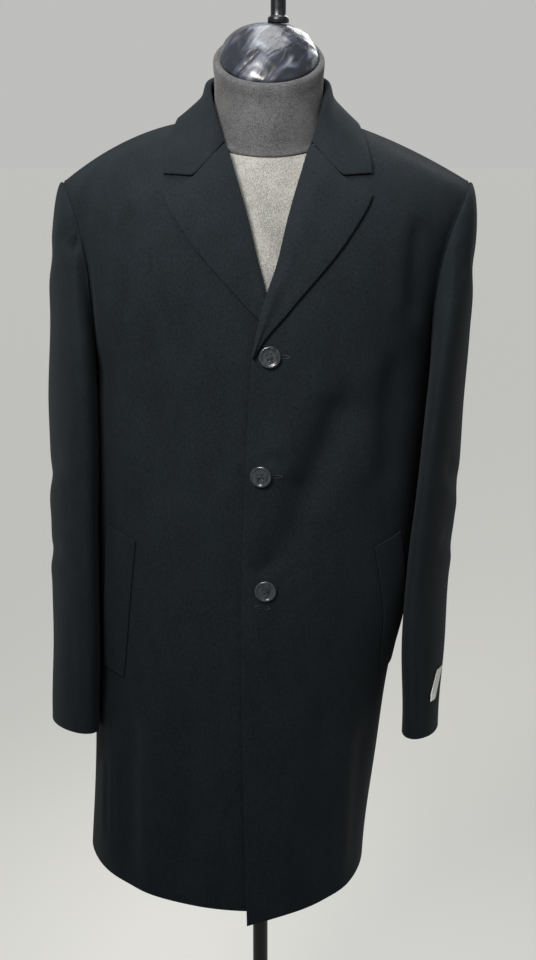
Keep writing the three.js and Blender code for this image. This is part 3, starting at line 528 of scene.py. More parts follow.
# the four panels
# A row is a line across a front: start at the neckline and roll, near and far handles,
# end at the armhole, lap under the left front, and its share of the shoulder's rise.
coat = {
    "wall": 2.6, "seamGap": 0.04, "lapDepth": 6.5, "underReach": 0.75, "backRoundness": 0.56,
    "hemRise": 22, "underRound": 0.28, "dropTurn": 3.4, "riseTurn": 0.7, "backSway": 0.35,
    "neckPoint": (80, 14, 1508), "napeY": 82, "napeZ": 1524, "neckShare": 0.28,
    "shoulderRise": {"left": 8, "right": 19}, "armpitLine": 7, "armholeGap": 0.9,
    "columns": 108, "rows": 190, "denseColumns": 130, "denseRows": 300, "uLow": -0.08, "waves": 1.1,
    "frontRows": [
        ((80, 14, 1508), (133, 10), (185, 6), (238, 2, 1437), 0, 1),
        ((72, -18, 1497), (122, -42), (182, -44), (233, -26, 1424), 0, 0.9),
        ((51, -60, 1478), (95, -92), (180, -80), (221, -44, 1401), 0, 0.5),
        ((40, -90, 1447), (85, -120), (174, -110), (207, -56, 1368), 0, 0.2),
        ((25, -115, 1397), (78, -140), (172, -122), (199, -58, 1325), 0, 0),
        ((13, -130, 1348), (74, -151), (178, -124), (197, -50, 1280), 2, 0),
        ((-1, -140, 1308), (70, -156), (187, -114), (197, -32, 1238), 5, 0),
        ((-18, -147, 1242), (80, -160), (198, -100), (198, 0, 1207), 7, 0),
    ],
    "backRows": [
        ((0, 98, 1497), (70, 100), (175, 54), (234, 27, 1426), 0.9),
        ((0, 112, 1462), (75, 116), (180, 84), (224, 45, 1402), 0.5),
        ((0, 123, 1412), (78, 128), (182, 108), (213, 56, 1366), 0.2),
        ((0, 129, 1362), (80, 134), (186, 117), (206, 59, 1326), 0),
        ((0, 131, 1312), (82, 136), (192, 115), (202, 53, 1284), 0),
        ((0, 130, 1262), (84, 135), (198, 106), (199, 36, 1240), 0),
        ((0, 127, 1220), (100, 132), (198, 88), (198, 0, 1207), 0),
    ],
    # how far out of those ends each side's armhole stands
    "frontSpread": {
        "left": [-1, -2, -1.5, -1, -3.5, -6, -6, -2],
        "right": [3, -0.5, 0.8, 5.2, 6.3, 6.5, 6.5, 8],
    },
    "backSpread": {"left": [0, 0, -1, -2, -4, -5, -2], "right": [0.5, 0.5, 3, 4, 5, 5.5, 8]},
    # level, left and right reach, front and back depth, edge, drop, rise, flat, square
    "skirtSections": [
        (1184, 196, 212, -149, 125, 22, 0, 0, 0.56, 0.5),
        (1160, 194, 212, -150, 123, 23, 0, 0, 0.56, 0.5),
        (1110, 189, 211.4, -152, 119, 25, 0, 0, 0.56, 0.5),
        (1000, 180.8, 211, -154, 119, 29, 0, 0, 0.56, 0.5),
        (935, 173.5, 212.4, -156, 123, 30, 0, 0, 0.56, 0.5),
        (870, 157, 213, -158, 128, 30, 0, 1, 0.56, 0.5),
        (740, 137, 217, -164, 138, 28, 3, 7, 0.6, 0.54),
        (583, 121, 225, -172, 148, 24, 8, 22, 0.72, 0.66),
    ],
}

# Creases: start and end in the view named, width, depth, share of ridge beside it, bow.
frontCreases = {
    "left": [
        ((94, 1206), (36, 1078), 24, 12, 0.35, -4),
        ((52, 1100), (4, 1000), 20, 6.6, 0.3, -2),
        ((172, 1400), (168, 1280), 12, 6.0, 0.4, 0),
        ((66, 860), (78, 590), 22, 8, 0.5, 0),
        ((24, 1226), (60, 1180), 10, 0.9, 0.3, 2),
        ((-18, 996), (10, 1011), 8, 3.4, 0.3, 0),
        ((-4, 1134), (20, 1124), 7, 3.0, 0.3, 0),
        ((14, 1108), (48, 1094), 7, 1.0, 0.4, 1),
        ((12, 984), (40, 1004), 8, 1.1, 0.4, -1),
        ((150, 1250), (140, 1080), 16, 6, 0.5, 4),
        ((118, 810), (112, 590), 14, 5.4, 0.5, 0),
    ],
    "right": [
        ((-187, 1404), (-186, 1300), 9, 5, 0.25, 0),
        ((-160, 1420), (-164, 1280), 12, 6, 0.25, 0),
        ((-150, 1210), (-120, 1060), 20, 5.4, 0.5, -5),
        ((-164, 830), (-170, 590), 15, 7, 0.5, 0),
        ((-96, 850), (-104, 590), 26, 8.5, 0.5, 0),
        ((-194, 742), (-197, 640), 3.4, 1.3, 0.5, 0),
        ((-186, 748), (-188, 636), 2.6, 1.0, 0.5, 0),
        ((-179, 742), (-180, 650), 3.0, 1.1, 0.5, 0),
        ((-40, 1120), (-24, 1060), 14, 1.4, 0.3, 0),
    ],
}
backCreases = {
    "left": [
        ((30, 1190), (42, 820), 22, 3.2, 0.4, 6),
        ((96, 1010), (84, 620), 26, 4.2, 0.4, -5),
        ((150, 1380), (120, 1240), 18, 3.0, 0.4, 8),
        ((118, 760), (112, 610), 15, 2.6, 0.3, 0),
        ((60, 1470), (110, 1440), 12, 1.4, 0.3, 0),
    ],
    "right": [
        ((-44, 1160), (-60, 760), 24, 3.6, 0.4, -6),
        ((-110, 960), (-122, 620), 24, 4.0, 0.4, 4),
        ((-158, 1390), (-124, 1230), 18, 3.0, 0.4, -9),
        ((-180, 800), (-190, 620), 18, 3.0, 0.3, 0),
        ((-64, 1474), (-120, 1440), 12, 1.4, 0.3, 0),
    ],
}


def frontLines(side):
    way, under = sideOf[side], side == "right"
    lines = []
    for (start, near, far, end, lap, crown), out in zip(coat["frontRows"], coat["frontSpread"][side]):
        back = lap if under else 0
        level = lambda t: start[2] + (end[2] - start[2]) * t + crown * coat["shoulderRise"][side]
        lines.append([
            [way * start[0], start[1] + back, start[2]], [way * near[0], near[1] + back * 0.7, level(1 / 3)],
            [way * (far[0] + out), far[1], level(2 / 3)], [way * (end[0] + out), end[1], end[2]],
        ])
    for z, left, right, front, _, edge, drop, rise, flat, square in coat["skirtSections"]:
        endX = way * (left if side == "left" else right)
        reach = edge * coat["underReach"] if under else edge
        frontY = front + (coat["lapDepth"] if under else 0)
        low = z if under else z - drop
        middle = low + (z - low) * coat["dropTurn"]
        corner = square - rise / coat["hemRise"] * coat["underRound"] if under else square
        quarter = np.array([
            [0, frontY, low], [endX * flat, frontY, middle],
            [endX, front * corner, z + rise * coat["riseTurn"]], [endX, 0, z + rise],
        ], float)
        lines.append(fromBefore(quarter, reach / abs(3 * endX * flat)))
    return np.array(lines, float)


def backLines(side):
    way, gap, handle = sideOf[side], coat["seamGap"], coat["backRoundness"]
    lines = []
    for (start, near, far, end, crown), out in zip(coat["backRows"], coat["backSpread"][side]):
        level = lambda t: start[2] + (end[2] - start[2]) * t + crown * coat["shoulderRise"][side] * t
        lines.append([
            [way * (start[0] + gap / 2), start[1], start[2]], [way * near[0], near[1], level(1 / 3)],
            [way * (far[0] + out), far[1], level(2 / 3)], [way * (end[0] + out), end[1] + gap, end[2]],
        ])
    for z, left, right, _, back, _, _, rise, _, _ in coat["skirtSections"]:
        startX = way * gap / 2 + (left - right) * coat["backSway"]
        endX = left if side == "left" else -right
        lines.append([
            [startX, back, z], [startX + (endX - startX) * handle, back + 1, z],
            [endX, back * (1 - handle), z + rise * coat["riseTurn"]], [endX, gap, z + rise],
        ])
    return np.array(lines, float)


def backTop(side, u):
    # a quarter of the neckline, then the shoulder seam
    way, share, gap = sideOf[side], coat["neckShare"], coat["seamGap"]
    x, y, z = coat["neckPoint"]
    angle = math.pi / 2 * clamp(u / share, 0, 1)
    neck = np.stack([
        way * (gap / 2 + (x - gap / 2) * np.sin(angle)), y + (coat["napeY"] - y) * np.cos(angle),
        coat["napeZ"] + (z - coat["napeZ"]) * (1 - np.cos(angle)),
    ], axis=1)
    seam = bezier(frontLines(side)[0], clamp((u - share) / (1 - share), 0, 1)) + [0, gap, 0]
    return np.where((u < share)[:, None], neck, seam)


def densePanel(part, side):
    isBack = part == "back"
    lines = backLines(side) if isBack else frontLines(side)
    uLow = 0.0 if isBack else coat["uLow"]
    us = np.linspace(uLow, 1, coat["denseColumns"])
    vs = np.linspace(0, 1, coat["denseRows"])
    rows = bezier(lines, us)
    if isBack:
        rows = np.concatenate([backTop(side, us)[None], rows])
        knots = knotsAlong(rows[:, 0])
    else:
        knots = knotsAlong(bezier(lines, np.array([0.5]))[:, 0])
    spread = np.repeat(rows[:, None], len(vs), axis=1).reshape(len(rows), -1, 3)
    grid = through(knots, spread, np.repeat(vs, len(us))).reshape(len(vs), len(us), 3)
    grid = smoothed(grid, 10)
    facing = (1 if isBack else -1) * sideOf[side]
    normals = gridNormals(grid) * facing
    creases = (backCreases if isBack else frontCreases)[side]
    height = creaseHeight(creases, part, grid, normals)
    # creases and waves die out at the seams and along the top
    seamFade = ease(clamp((1 - us) / 0.06, 0, 1))[None]
    if isBack:
        seamFade = seamFade * ease(clamp(us / 0.05, 0, 1))[None]
    topFade = ease(clamp(vs / 0.03, 0, 1))[:, None]
    height = (height + unevenness(grid, coat["waves"], 2.0 if isBack else 1.0)) * seamFade * topFade
    grid = grid + normals * height[..., None]
    pit = knots[coat["armpitLine"]]
    return {"grid": grid, "uLow": uLow, "facing": facing, "pit": pit, "isBack": isBack}


def onPanel(panel, u, v):
    # Catmull-Rom reading of the dense grid at places (u, v)
    grid = panel["grid"]
    rows, cols = grid.shape[:2]
    x = clamp((u - panel["uLow"]) / (1 - panel["uLow"]), 0, 1) * (cols - 1)
    y = clamp(v, 0, 1) * (rows - 1)
    i, j = np.floor(y).astype(int).clip(0, rows - 2), np.floor(x).astype(int).clip(0, cols - 2)

    def weights(t):
        outer = [(-t + 2 * t**2 - t**3) / 2, (t**3 - t**2) / 2]
        return [outer[0], (2 - 5 * t**2 + 3 * t**3) / 2, (t + 4 * t**2 - 3 * t**3) / 2, outer[1]]

    wy, wx = weights(y - i), weights(x - j)
    total = 0
    for a in range(4):
        for b in range(4):
            corner = grid[np.clip(i + a - 1, 0, rows - 1), np.clip(j + b - 1, 0, cols - 1)]
            total = total + corner * (wy[a] * wx[b])[..., None]
    return total


def ratesAt(panel, u, v, step):
    # the place at one (u, v) and its rates along u and v
    at = lambda a, b: onPanel(panel, np.array([a]), np.array([b]))[0]
    here = at(u, v)
    return here, (at(u + step, v) - here) / step, (at(u, v + step) - here) / step


def placeOn(panel, place):
    # Newton's steps in the front view to the (u, v) of one place (x, z)
    u, v = 0.3, 0.3
    for _ in range(40):
        here, du, dv = ratesAt(panel, u, v, 0.003)
        ex, ez = place[0] - here[0], place[1] - here[2]
        det = du[0] * dv[2] - dv[0] * du[2]
        u = float(clamp(u + clamp((ex * dv[2] - dv[0] * ez) / det, -0.15, 0.15), panel["uLow"], 1.0))
        v = float(clamp(v + clamp((du[0] * ez - du[2] * ex) / det, -0.15, 0.15), 0.0, 1.0))
    return np.array([u, v])


def liftFrom(panel, u, v):
    # place and outward direction at grids of u and v
    step = 0.004
    here = onPanel(panel, u, v)
    du = onPanel(panel, u + step, v) - onPanel(panel, u - step, v)
    dv = onPanel(panel, u, v + step) - onPanel(panel, u, v - step)
    return here, unit(np.cross(du, dv)) * panel["facing"]


def pairOf(maker, name, node, *more):
    # the left and the right piece, each named for its side
    return {side: maker(side, name.format(side.title()), node.format(side), *more) for side in sideOf}


def panelPiece(side, name, node, part):
    panel = panels[part][side]
    us = np.linspace(0, 1, coat["columns"])
    vs = np.linspace(0, 1, coat["rows"])
    outer = onPanel(panel, *np.meshgrid(us, vs))
    # edges that meet another panel are cut square to it
    normals = gridNormals(outer) * panel["facing"]
    if panel["isBack"]:
        normals[:, 0, 0] = 0
    shoulder = us >= (coat["neckShare"] if panel["isBack"] else 0)
    normals[0, shoulder, 1] = 0
    normals[vs > panel["pit"] - 0.01, -1, 1] = 0
    inner = outer - unit(normals) * coat["wall"]
    points, faceSets, uv = shell(outer, inner)
    return finish(name, points, faceSets, wool, "wool", [node], uv)


def woolStrip(name, middle, facing, wall, node):
    # a cloth wall laid half to each side of a grid
    half = gridNormals(middle) * facing * (wall / 2)
    points, faceSets, uv = shell(middle + half, middle - half)
    return finish(name, points, faceSets, wool, "wool", [node], uv)


panels = {part: {side: densePanel(part, side) for side in sideOf} for part in ("front", "back")}
frontPieces = pairOf(panelPiece, "coatFront{}", "front_{}", "front")
backPieces = pairOf(panelPiece, "coatBack{}", "back_{}", "back")
print("panels made")

# lapels
lapels = {
    "wall": 2.4, "lift": 2.0, "puff": 2.4, "lay": 0.5, "columns": 46, "rows": 90, "rollSteps": 8,
    "outer": {
        "left": [(118, 1424), (112, 1411), (88, 1374), (52, 1330), (20, 1293), (-6.7, 1262), (-15, 1248)],
        "right": [(118, 1424), (112, 1411), (88, 1374), (52, 1332), (22, 1299), (8.6, 1285.5)],
    },
    "roll": {
        "left": [(51, 1478), (40, 1447), (25, 1397), (13, 1348), (-1, 1308), (-10, 1272), (-17.2, 1246)],
        "right": [(51, 1478), (40, 1447), (25, 1397), (13, 1348), (2.6, 1310)],
    },
    "notch": (84, 1443.5),
}


def placesOn(panel, line, side):
    return np.array([placeOn(panel, (sideOf[side] * x, z)) for x, z in line])


def lapelPlaces(side, us, vs):
    # mix of the roll line and the outer line, its top edge drawn to the notch
    panel = panels["front"][side]
    roll, outer = lapels["roll"][side], lapels["outer"][side]
    rollAt, outerAt = placesOn(panel, roll, side), placesOn(panel, outer, side)
    a = through(knotsAlong(roll), rollAt, vs)
    b = through(knotsAlong(outer), outerAt, vs)
    ends = placesOn(panel, [roll[0], lapels["notch"], outer[0]], side)
    edge = np.array([np.interp(us, [0, 0.5, 1], ends[:, k]) for k in range(2)]).T
    straight = a[:, None] + (b - a)[:, None] * us[None, :, None]
    fade = (1 - clamp(vs / 0.3, 0, 1)) ** 2
    pull = edge - (rollAt[0] + (outerAt[0] - rollAt[0]) * us[:, None])
    return straight + pull[None] * fade[:, None, None]


def lapelPiece(side, name, node):
    panel = panels["front"][side]
    vs = np.linspace(0.004, 1, lapels["rows"])
    us = np.linspace(0, 1, lapels["columns"]) ** 1.15
    places = lapelPlaces(side, us, vs)
    here, normals = liftFrom(panel, places[..., 0], places[..., 1])
    lift = lapels["lift"] + lapels["wall"] / 2
    puff = lapels["puff"] * bell(us - 0.24, 0.2)
    lay = lapels["lay"] * bell(us - 1, 0.1)  # the edge dips to the front
    middle = here + normals * (lift + puff - lay)[None, :, None]
    # the roll: a half circle from the lapel over the front's edge to its inner face
    lead = unit(middle[:, 0] - middle[:, 2])
    lead -= normals[:, 0] * (lead * normals[:, 0]).sum(axis=1, keepdims=True)
    lead = unit(lead)
    radius = (lift + coat["wall"] - lapels["wall"] / 2) / 2
    fadeEnd = ease(clamp((1 - vs) / 0.12, 0.15, 1))[:, None]
    rolls = []
    for k in range(lapels["rollSteps"], 0, -1):
        angle = math.pi * 0.86 * k / lapels["rollSteps"]
        turn = normals[:, 0] * (math.cos(angle) - 1) + lead * math.sin(angle) * fadeEnd
        rolls.append(middle[:, 0] + radius * turn)
    middle = np.concatenate([np.stack(rolls, axis=1), middle], axis=1)
    middle = smoothed(middle.transpose(1, 0, 2), 3).transpose(1, 0, 2)
    return woolStrip(name, middle, panel["facing"], lapels["wall"], node)


lapelPieces = pairOf(lapelPiece, "lapel{}Cloth", "lapel_{}")
print("lapels made")

# welts of the slanted pockets
welts = {
    "wall": 2.0, "lift": 0.5, "columns": 26, "rows": 80,
    "corners": {
        "left": [(124, 1019), (156, 1030), (134, 850), (151, 856)],
        "right": [(-155, 1023), (-191, 1034), (-173, 850), (-199, 856)],
    },
}


def weltPiece(side, name, node):
    panel = panels["front"][side]
    topInner, topOuter, lowInner, lowOuter = (placeOn(panel, corner) for corner in welts["corners"][side])
    u, v = np.meshgrid(np.linspace(0, 1, welts["columns"]), np.linspace(0, 1, welts["rows"]))
    u, v = u[..., None], v[..., None]
    places = (topInner * (1 - u) + topOuter * u) * (1 - v) + (lowInner * (1 - u) + lowOuter * u) * v
    here, normals = liftFrom(panel, places[..., 0], places[..., 1])
    # the mouth, at the outer edge, stands off most at its middle
    gape = 1.6 * ease(clamp(u[..., 0] * 1.6 - 0.6, 0, 1)) * np.sin(math.pi * v[..., 0]) ** 0.7
    middle = here + normals * (welts["lift"] + welts["wall"] / 2 + gape)[..., None]
    return woolStrip(name, middle, panel["facing"], welts["wall"], node)


weltPieces = pairOf(weltPiece, "welt{}Cloth", "welt_{}")
print("welts made")

# collar: stand, crease and fall folded from one strip
collar = {
    "wall": 2.4, "columns": 120, "rows": 70, "knots": [0, 0.16, 0.36, 0.42, 0.48, 0.64, 0.82, 1],
    "reach": 0.13, "creaseShare": 0.42, "fallLift": 2.7,
    # where the fall ends on the front: at the gorge, at the notch and at its corner
    "frontEdge": [(51.5, 1478.6), (84.2, 1444.3), (118, 1446)],
    # neckline, crease, outer edge, sag of the fall, share of the right shoulder's rise
    "sections": [
        ((51, -60, 1478), (51, -60, 1482), (118, -92, 1446), 0, 0),
        ((61, -40, 1488), (57.5, -49, 1501), (117, -80, 1459), 3, 0.05),
        ((72, -18, 1497), (65, -32, 1524), (113, -50, 1479), 5, 0.25),
        ((80, 14, 1508), (70.5, 10, 1550), (103, 8, 1505.5), 6, 0.45),
        ((68, 50, 1517), (60, 44, 1558), (86, 66, 1507), 4, 0.3),
        ((40, 73, 1522), (34, 68, 1563), (50, 98, 1506), 3, 0.1),
        ((0, 82, 1524), (0, 76, 1565), (0, 109, 1505), 3, 0),
    ],
}


def collarLine(row, side):
    seam, crease, low, sag, crown = (np.array(value, float) for value in row)
    rise = crown * (coat["shoulderRise"][side] - coat["shoulderRise"]["left"])
    edge = low + [0, 0, rise]
    outwards = unit(np.array([seam[0], seam[1] * 0.9, 0]))
    fold = clamp(np.linalg.norm(crease - seam) * 0.08, 0.8, 2.4)
    tuck = outwards * -(collar["wall"] / 2 + 0.9)
    lean = outwards + [0, 0, 1]
    points = np.array([
        seam + tuck + [0, 0, 0.5], seam + (crease - seam) * 0.55 + tuck * 0.9,
        crease - outwards * fold - [0, 0, fold], crease, crease + outwards * fold - [0, 0, fold],
        crease + (edge - crease) * 0.3 - lean * 0.6 * sag,
        crease + (edge - crease) * 0.65 - lean * 0.35 * sag, edge,
    ])
    return points * [sideOf[side], 1, 1]


def collarPiece(name, node):
    us = np.linspace(0, 1, collar["rows"])
    vs = np.linspace(0, 1, collar["columns"])
    right = [collarLine(row, "right") for row in collar["sections"]]
    left = [collarLine(row, "left") for row in collar["sections"][:-1]][::-1]
    rows = np.array(right + left)
    knots = knotsAlong(rows[:, 4])
    lines = np.stack([through(knots, rows[:, k], vs) for k in range(rows.shape[1])])
    spread = np.repeat(lines[:, :, None], len(us), axis=2).reshape(len(lines), -1, 3)
    grid = through(np.array(collar["knots"]), spread, np.tile(us, len(vs))).reshape(len(vs), len(us), 3)
    share = collar["creaseShare"]
    for side in ("right", "left"):
        panel = panels["front"][side]
        ends = placesOn(panel, collar["frontEdge"], side)
        along = clamp((us - share) / (1 - share), 0, 1)
        at = np.array([np.interp(along, [0, 0.5, 1], ends[:, k]) for k in range(2)])
        here, normals = liftFrom(panel, at[0], at[1])
        target = here + normals * collar["fallLift"]
        fromEnd = vs if side == "right" else 1 - vs
        fade = np.where(fromEnd < collar["reach"], (1 - fromEnd / collar["reach"]) ** 2, 0)
        start = ease(clamp(along / 0.2, 0, 1))
        pull = (target - grid[0 if side == "right" else -1]) * start[:, None]
        grid = grid + pull[None] * clamp(fade, 0, 1)[:, None, None]
    grid = smoothed(grid, 4)
    grid = smoothed(grid.transpose(1, 0, 2), 4).transpose(1, 0, 2)
    fall = gridNormals(grid)[len(vs) // 2, -8]  # it faces back at the centre back
    return woolStrip(name, grid, 1 if fall[1] > 0 else -1, collar["wall"], node)


collarCloth = collarPiece("collarCloth", "collar")
print("collar made")

# sleeves: a cap from the armhole, then level rings, with a pressed groove at both seams
sleeves = {
    "cuffRise": 9, "columns": 130, "capRows": 46, "armRows": 120, "tuckRows": 5,
    "seams": (0.28, 0.8), "girth": 380, "allowance": 7, "tuckDepth": 3.6, "setIn": 3.0, "waves": 1.0,
    # level, centre out, centre back, depth, width, turn in degrees
    "rings": {
        "left": [
            (1168, 215, -5, 86, 20.5, 14), (1050, 206, -9, 82, 20.2, 17),
            (914, 194.5, -18, 75, 21.4, 19), (765, 190, -30, 66, 21.5, 12),
        ],
        "right": [
            (1168, 236.5, -5, 86, 26.6, 16), (1050, 237.5, -9, 82, 25.5, 17),
            (914, 238, -18, 75, 24, 19), (771, 240, -30, 66, 25, 21),
        ],
    },
    "creases": {
        "left": {
            "front": [
                ((190, 900), (187, 770), 6, 1.6, 0.4, 0),
                ((222, 1370), (232, 1330), 9, 1.6, 0.4, 0),
                ((205, 1120), (222, 1085), 12, 1.0, 0.4, 0),
            ],
            "left": [
                ((-60, 1110), (50, 1060), 15, 2.4, 0.5, 6), ((-50, 1010), (40, 985), 12, 2.0, 0.5, -4),
                ((-30, 1360), (40, 1300), 16, 2.0, 0.4, 0),
            ],
            "back": [((205, 1100), (225, 1060), 12, 2.4, 0.5, 2), ((198, 1000), (216, 975), 10, 2.0, 0.5, 0)],
        },
        "right": {
            "front": [
                ((-209, 1387), (-235, 1357), 7, 10, -0.4, 0),
                ((-232, 1060), (-246, 1020), 14, 1.2, 0.4, 0),
                ((-238, 930), (-236, 790), 9, 1.3, 0.4, 0),
            ],
            "right": [
                ((-60, 1110), (50, 1060), 15, 2.4, 0.5, -6), ((-50, 1000), (40, 980), 12, 2.0, 0.5, 4),
                ((-20, 1360), (50, 1310), 16, 2.0, 0.4, 0),
            ],
            "back": [((-228, 1100), (-248, 1060), 12, 2.4, 0.5, 2), ((-226, 1000), (-246, 975), 10, 2.0, 0.5, 0)],
        },
    },
}


def armRing(side, q, t):
    # an ellipse turned about the vertical, its front edge raised towards the cuff
    rings = np.array(sleeves["rings"][side], float)
    knots = (rings[0, 0] - rings[:, 0]) / (rings[0, 0] - rings[-1, 0])
    z, out, y, deep, wide, turn = through(knots, rings, t).T
    angle, lean = 2 * math.pi * q, np.radians(turn)
    outwards, forward = wide * np.cos(angle), deep * np.sin(angle)
    x = outwards * np.cos(lean) - forward * np.sin(lean)
    back = -forward * np.cos(lean) - outwards * np.sin(lean)
    rise = sleeves["cuffRise"] * t * t * (-back / deep)
    return np.stack([sideOf[side] * (out + x), y + back, z + rise], axis=-1)


def armhole(side, q):
    # along the panels' own side edges, nought at the shoulder and a half at the armpit
    turn = q % 1
    front, back = panels["front"][side], panels["back"][side]
    ones = np.ones_like(turn)
    there = np.where(
        (turn <= 0.5)[:, None], onPanel(front, ones, front["pit"] * turn * 2),
        onPanel(back, ones, back["pit"] * (1 - turn) * 2),
    )
    return there + [sideOf[side] * coat["armholeGap"], 0, 0]


def sleevePlaces(side, q, v):
    way = sideOf[side]
    arm = armRing(side, q, clamp(v - 1, 0, 1))
    seam, ring = armhole(side, q), armRing(side, q, np.zeros_like(q))
    under = clamp(-np.cos(2 * math.pi * q), 0, 1)
    leave = unit(np.stack([way * (1 - 0.75 * under), -0.75 * np.sin(2 * math.pi * q), 0.05 - under * 1.2], axis=1))
    reach = (20 - 10 * under)[:, None]
    height = ((seam[:, 2] - ring[:, 2]) * 0.42)[:, None]
    fall = unit(ring - armRing(side, q, np.full_like(q, 0.12))) * height
    t = clamp(v, 0, 1)[:, None]
    s = 1 - t
    cap = seam * s**3 + (seam + leave * reach) * 3 * s * s * t + (ring + fall) * 3 * s * t * t + ring * t**3
    return np.where((v >= 1)[:, None], arm, cap)


def seamAllowance(side, q, t):
    # the cloth turned in under the panel's edge: t runs from 1 at its raw end to 0 at the seam
    turn = q % 1
    isFront = turn <= 0.5
    spots = []
    for panel, v in ((panels["front"][side], turn * 2), (panels["back"][side], (1 - turn) * 2)):
        v = clamp(panel["pit"] * v, 0, 1)
        _, normal = liftFrom(panel, np.full_like(v, 0.995), v)
        inwards = unit(onPanel(panel, np.full_like(v, 0.97), v) - onPanel(panel, np.ones_like(v), v))
        inwards = inwards * (sleeves["allowance"] * t)[:, None]
        spots.append(inwards - normal * (sleeves["tuckDepth"] * ease(t))[:, None])
    return armhole(side, q) + np.where(isFront[:, None], spots[0], spots[1])


def seamColumns():
    # even columns round the sleeve, with finer ones over both seams
    even = np.linspace(0, 1, sleeves["columns"], endpoint=False)
    fine = np.array([-4.2, -3, -2.1, -1.4, -0.7, 0, 0.7, 1.4, 2.1, 3, 4.2]) / sleeves["girth"]
    near = np.concatenate([(seam + fine) % 1 for seam in sleeves["seams"]])
    apart = np.abs((even[:, None] - np.array(sleeves["seams"]) + 0.5) % 1 - 0.5).min(axis=1)
    return np.sort(np.concatenate([even[apart > 5 / sleeves["girth"]], near]))


def pressedSeam(qs):
    # a groove along each seam, with the doubled cloth a little proud on both sides of it
    off = (qs[:, None] - np.array(sleeves["seams"]) + 0.5) % 1 - 0.5
    off = np.abs(off).min(axis=1) * sleeves["girth"]
    return 0.35 * bell(off - 3, 1.8) - 1.0 * bell(off, 1.0)


def roundNormals(grid):
    # normals of a grid that closes on itself across
    wrapped = np.concatenate([grid[:, -1:], grid, grid[:, :1]], axis=1)
    return gridNormals(wrapped)[:, 1:-1]


def sleevePiece(side, name, nodes):
    qs = seamColumns()
    tuck = np.linspace(1, 0, sleeves["tuckRows"], endpoint=False)
    cap = np.linspace(0, 1, sleeves["capRows"])
    head = [0, 0.002, 0.004, 0.007, 0.01, 0.014, 0.019]
    vs = np.concatenate([head, (cap**2 * 0.4 + cap * 0.6)[2:], 1 + np.linspace(0, 1, sleeves["armRows"])[1:]])
    q, v = np.meshgrid(qs, vs)
    grid = sleevePlaces(side, q.ravel(), v.ravel()).reshape(*q.shape, 3)
    grid[len(head):] = smoothed(grid, 10)[len(head):]
    normals = roundNormals(grid) * sideOf[side]
    height = unevenness(grid, sleeves["waves"], 3.0)
    for view, creases in sleeves["creases"][side].items():
        height = height + creaseHeight(creases, view, grid, normals)
    opened = ease(clamp(vs - 0.7, 0, 1))[:, None]
    height = (height + pressedSeam(qs)[None] * opened) * ease(clamp(vs / 0.16, 0, 1))[:, None]
    fromSeam = np.cumsum(np.linalg.norm(np.diff(grid, axis=0, prepend=grid[:1]), axis=2), axis=0)
    height = height - sleeves["setIn"] * bell(fromSeam - 0.5, 1.9) + 0.3 * bell(fromSeam - 6, 2.6)
    grid = grid + normals * height[..., None]
    q, t = np.meshgrid(qs, tuck)
    turned = seamAllowance(side, q.ravel(), t.ravel()).reshape(*q.shape, 3)
    grid = np.concatenate([turned, grid])
    normals = roundNormals(grid) * sideOf[side]
    return finish(name, *sleeveShell(grid, grid - normals * coat["wall"]), wool, "wool", nodes)


sleevePieces = {
    side: sleevePiece(side, f"sleeve{side.title()}Cloth", [f"sleeve_{side}_top", f"sleeve_{side}_under"])
    for side in sideOf
}
print("sleeves made")

# buttons: a dished disc with a rounded rim and four holes
buttons = {
    "holeSpread": 2.3, "holeRadius": 0.95, "holeDepth": 1.7, "lift": 0.5,
    "strandRadius": 0.252, "strandGap": 0.32, "strandHeight": 2.35, "strandArch": 0.45, "crossing": 0.35,
    "places": {"top": (2, 1247), "middle": (-8, 1112), "lower": (-3, 977)},
    "turns": {"top": 0.3, "middle": 0.12, "lower": 0.5},
    "profile": [
        (0, 2.1), (7.4, 2.1), (8.9, 2.5), (9.9, 3.3), (10.9, 3.6), (11.8, 3.2), (12.4, 2.4), (12.5, 1.9),
        (12.1, 1.0), (10.8, 0.2), (9.5, 0.0), (0, 0),
    ],
}


def buttonRings():
    # radius and height follow the profile; each hole is a round well in the dish
    profile = np.array(buttons["profile"], float)
    t = np.linspace(0, 1, 150)
    line = through(knotsAlong(profile), profile, t)
    line = line[line[:, 0] > 0.04]
    angles = np.linspace(0, 2 * math.pi, 120, endpoint=False)
    x, y = line[:, :1] * np.cos(angles), line[:, :1] * np.sin(angles)
    z = np.repeat(line[:, 1:], len(angles), axis=1)
    isTop = (np.arange(len(line)) < np.argmax(line[:, 0]))[:, None]
    spread = buttons["holeSpread"]
    off = np.hypot(np.abs(x) - spread, np.abs(y) - spread)
    well = ease(clamp((buttons["holeRadius"] + 0.15 - off) / 0.3, 0, 1))
    return np.stack([x, y, z - buttons["holeDepth"] * well * isTop], axis=-1)


def standing(points, place, out, turn=0.0):
    # turns +Z to the given direction and moves to the place
    out = out / np.linalg.norm(out)
    side = unit(np.cross([0.0, 0.0, 1.0], out))
    up = np.cross(out, side)
    a = side * math.cos(turn) + up * math.sin(turn)
    b = np.cross(out, a)
    return points @ np.array([a, b, out]) + place


def buttonThreads():
    # two crossing bars of three strands from hole to hole, one bar over the other
    spread, gap = buttons["holeSpread"], buttons["strandGap"]
    t = np.linspace(-1, 1, 14)
    arch = buttons["strandHeight"] + buttons["strandArch"] * (1 - t**4) - 1.3 * np.abs(t) ** 8
    parts = []
    for way, over in ((1, 0), (-1, buttons["crossing"])):
        for k in (-1, 0, 1):
            path = np.stack([t * spread + way * k * gap, way * t * spread - k * gap, arch + over], axis=1)
            parts.append(tube(path, buttons["strandRadius"], 8))
    return joined(parts)


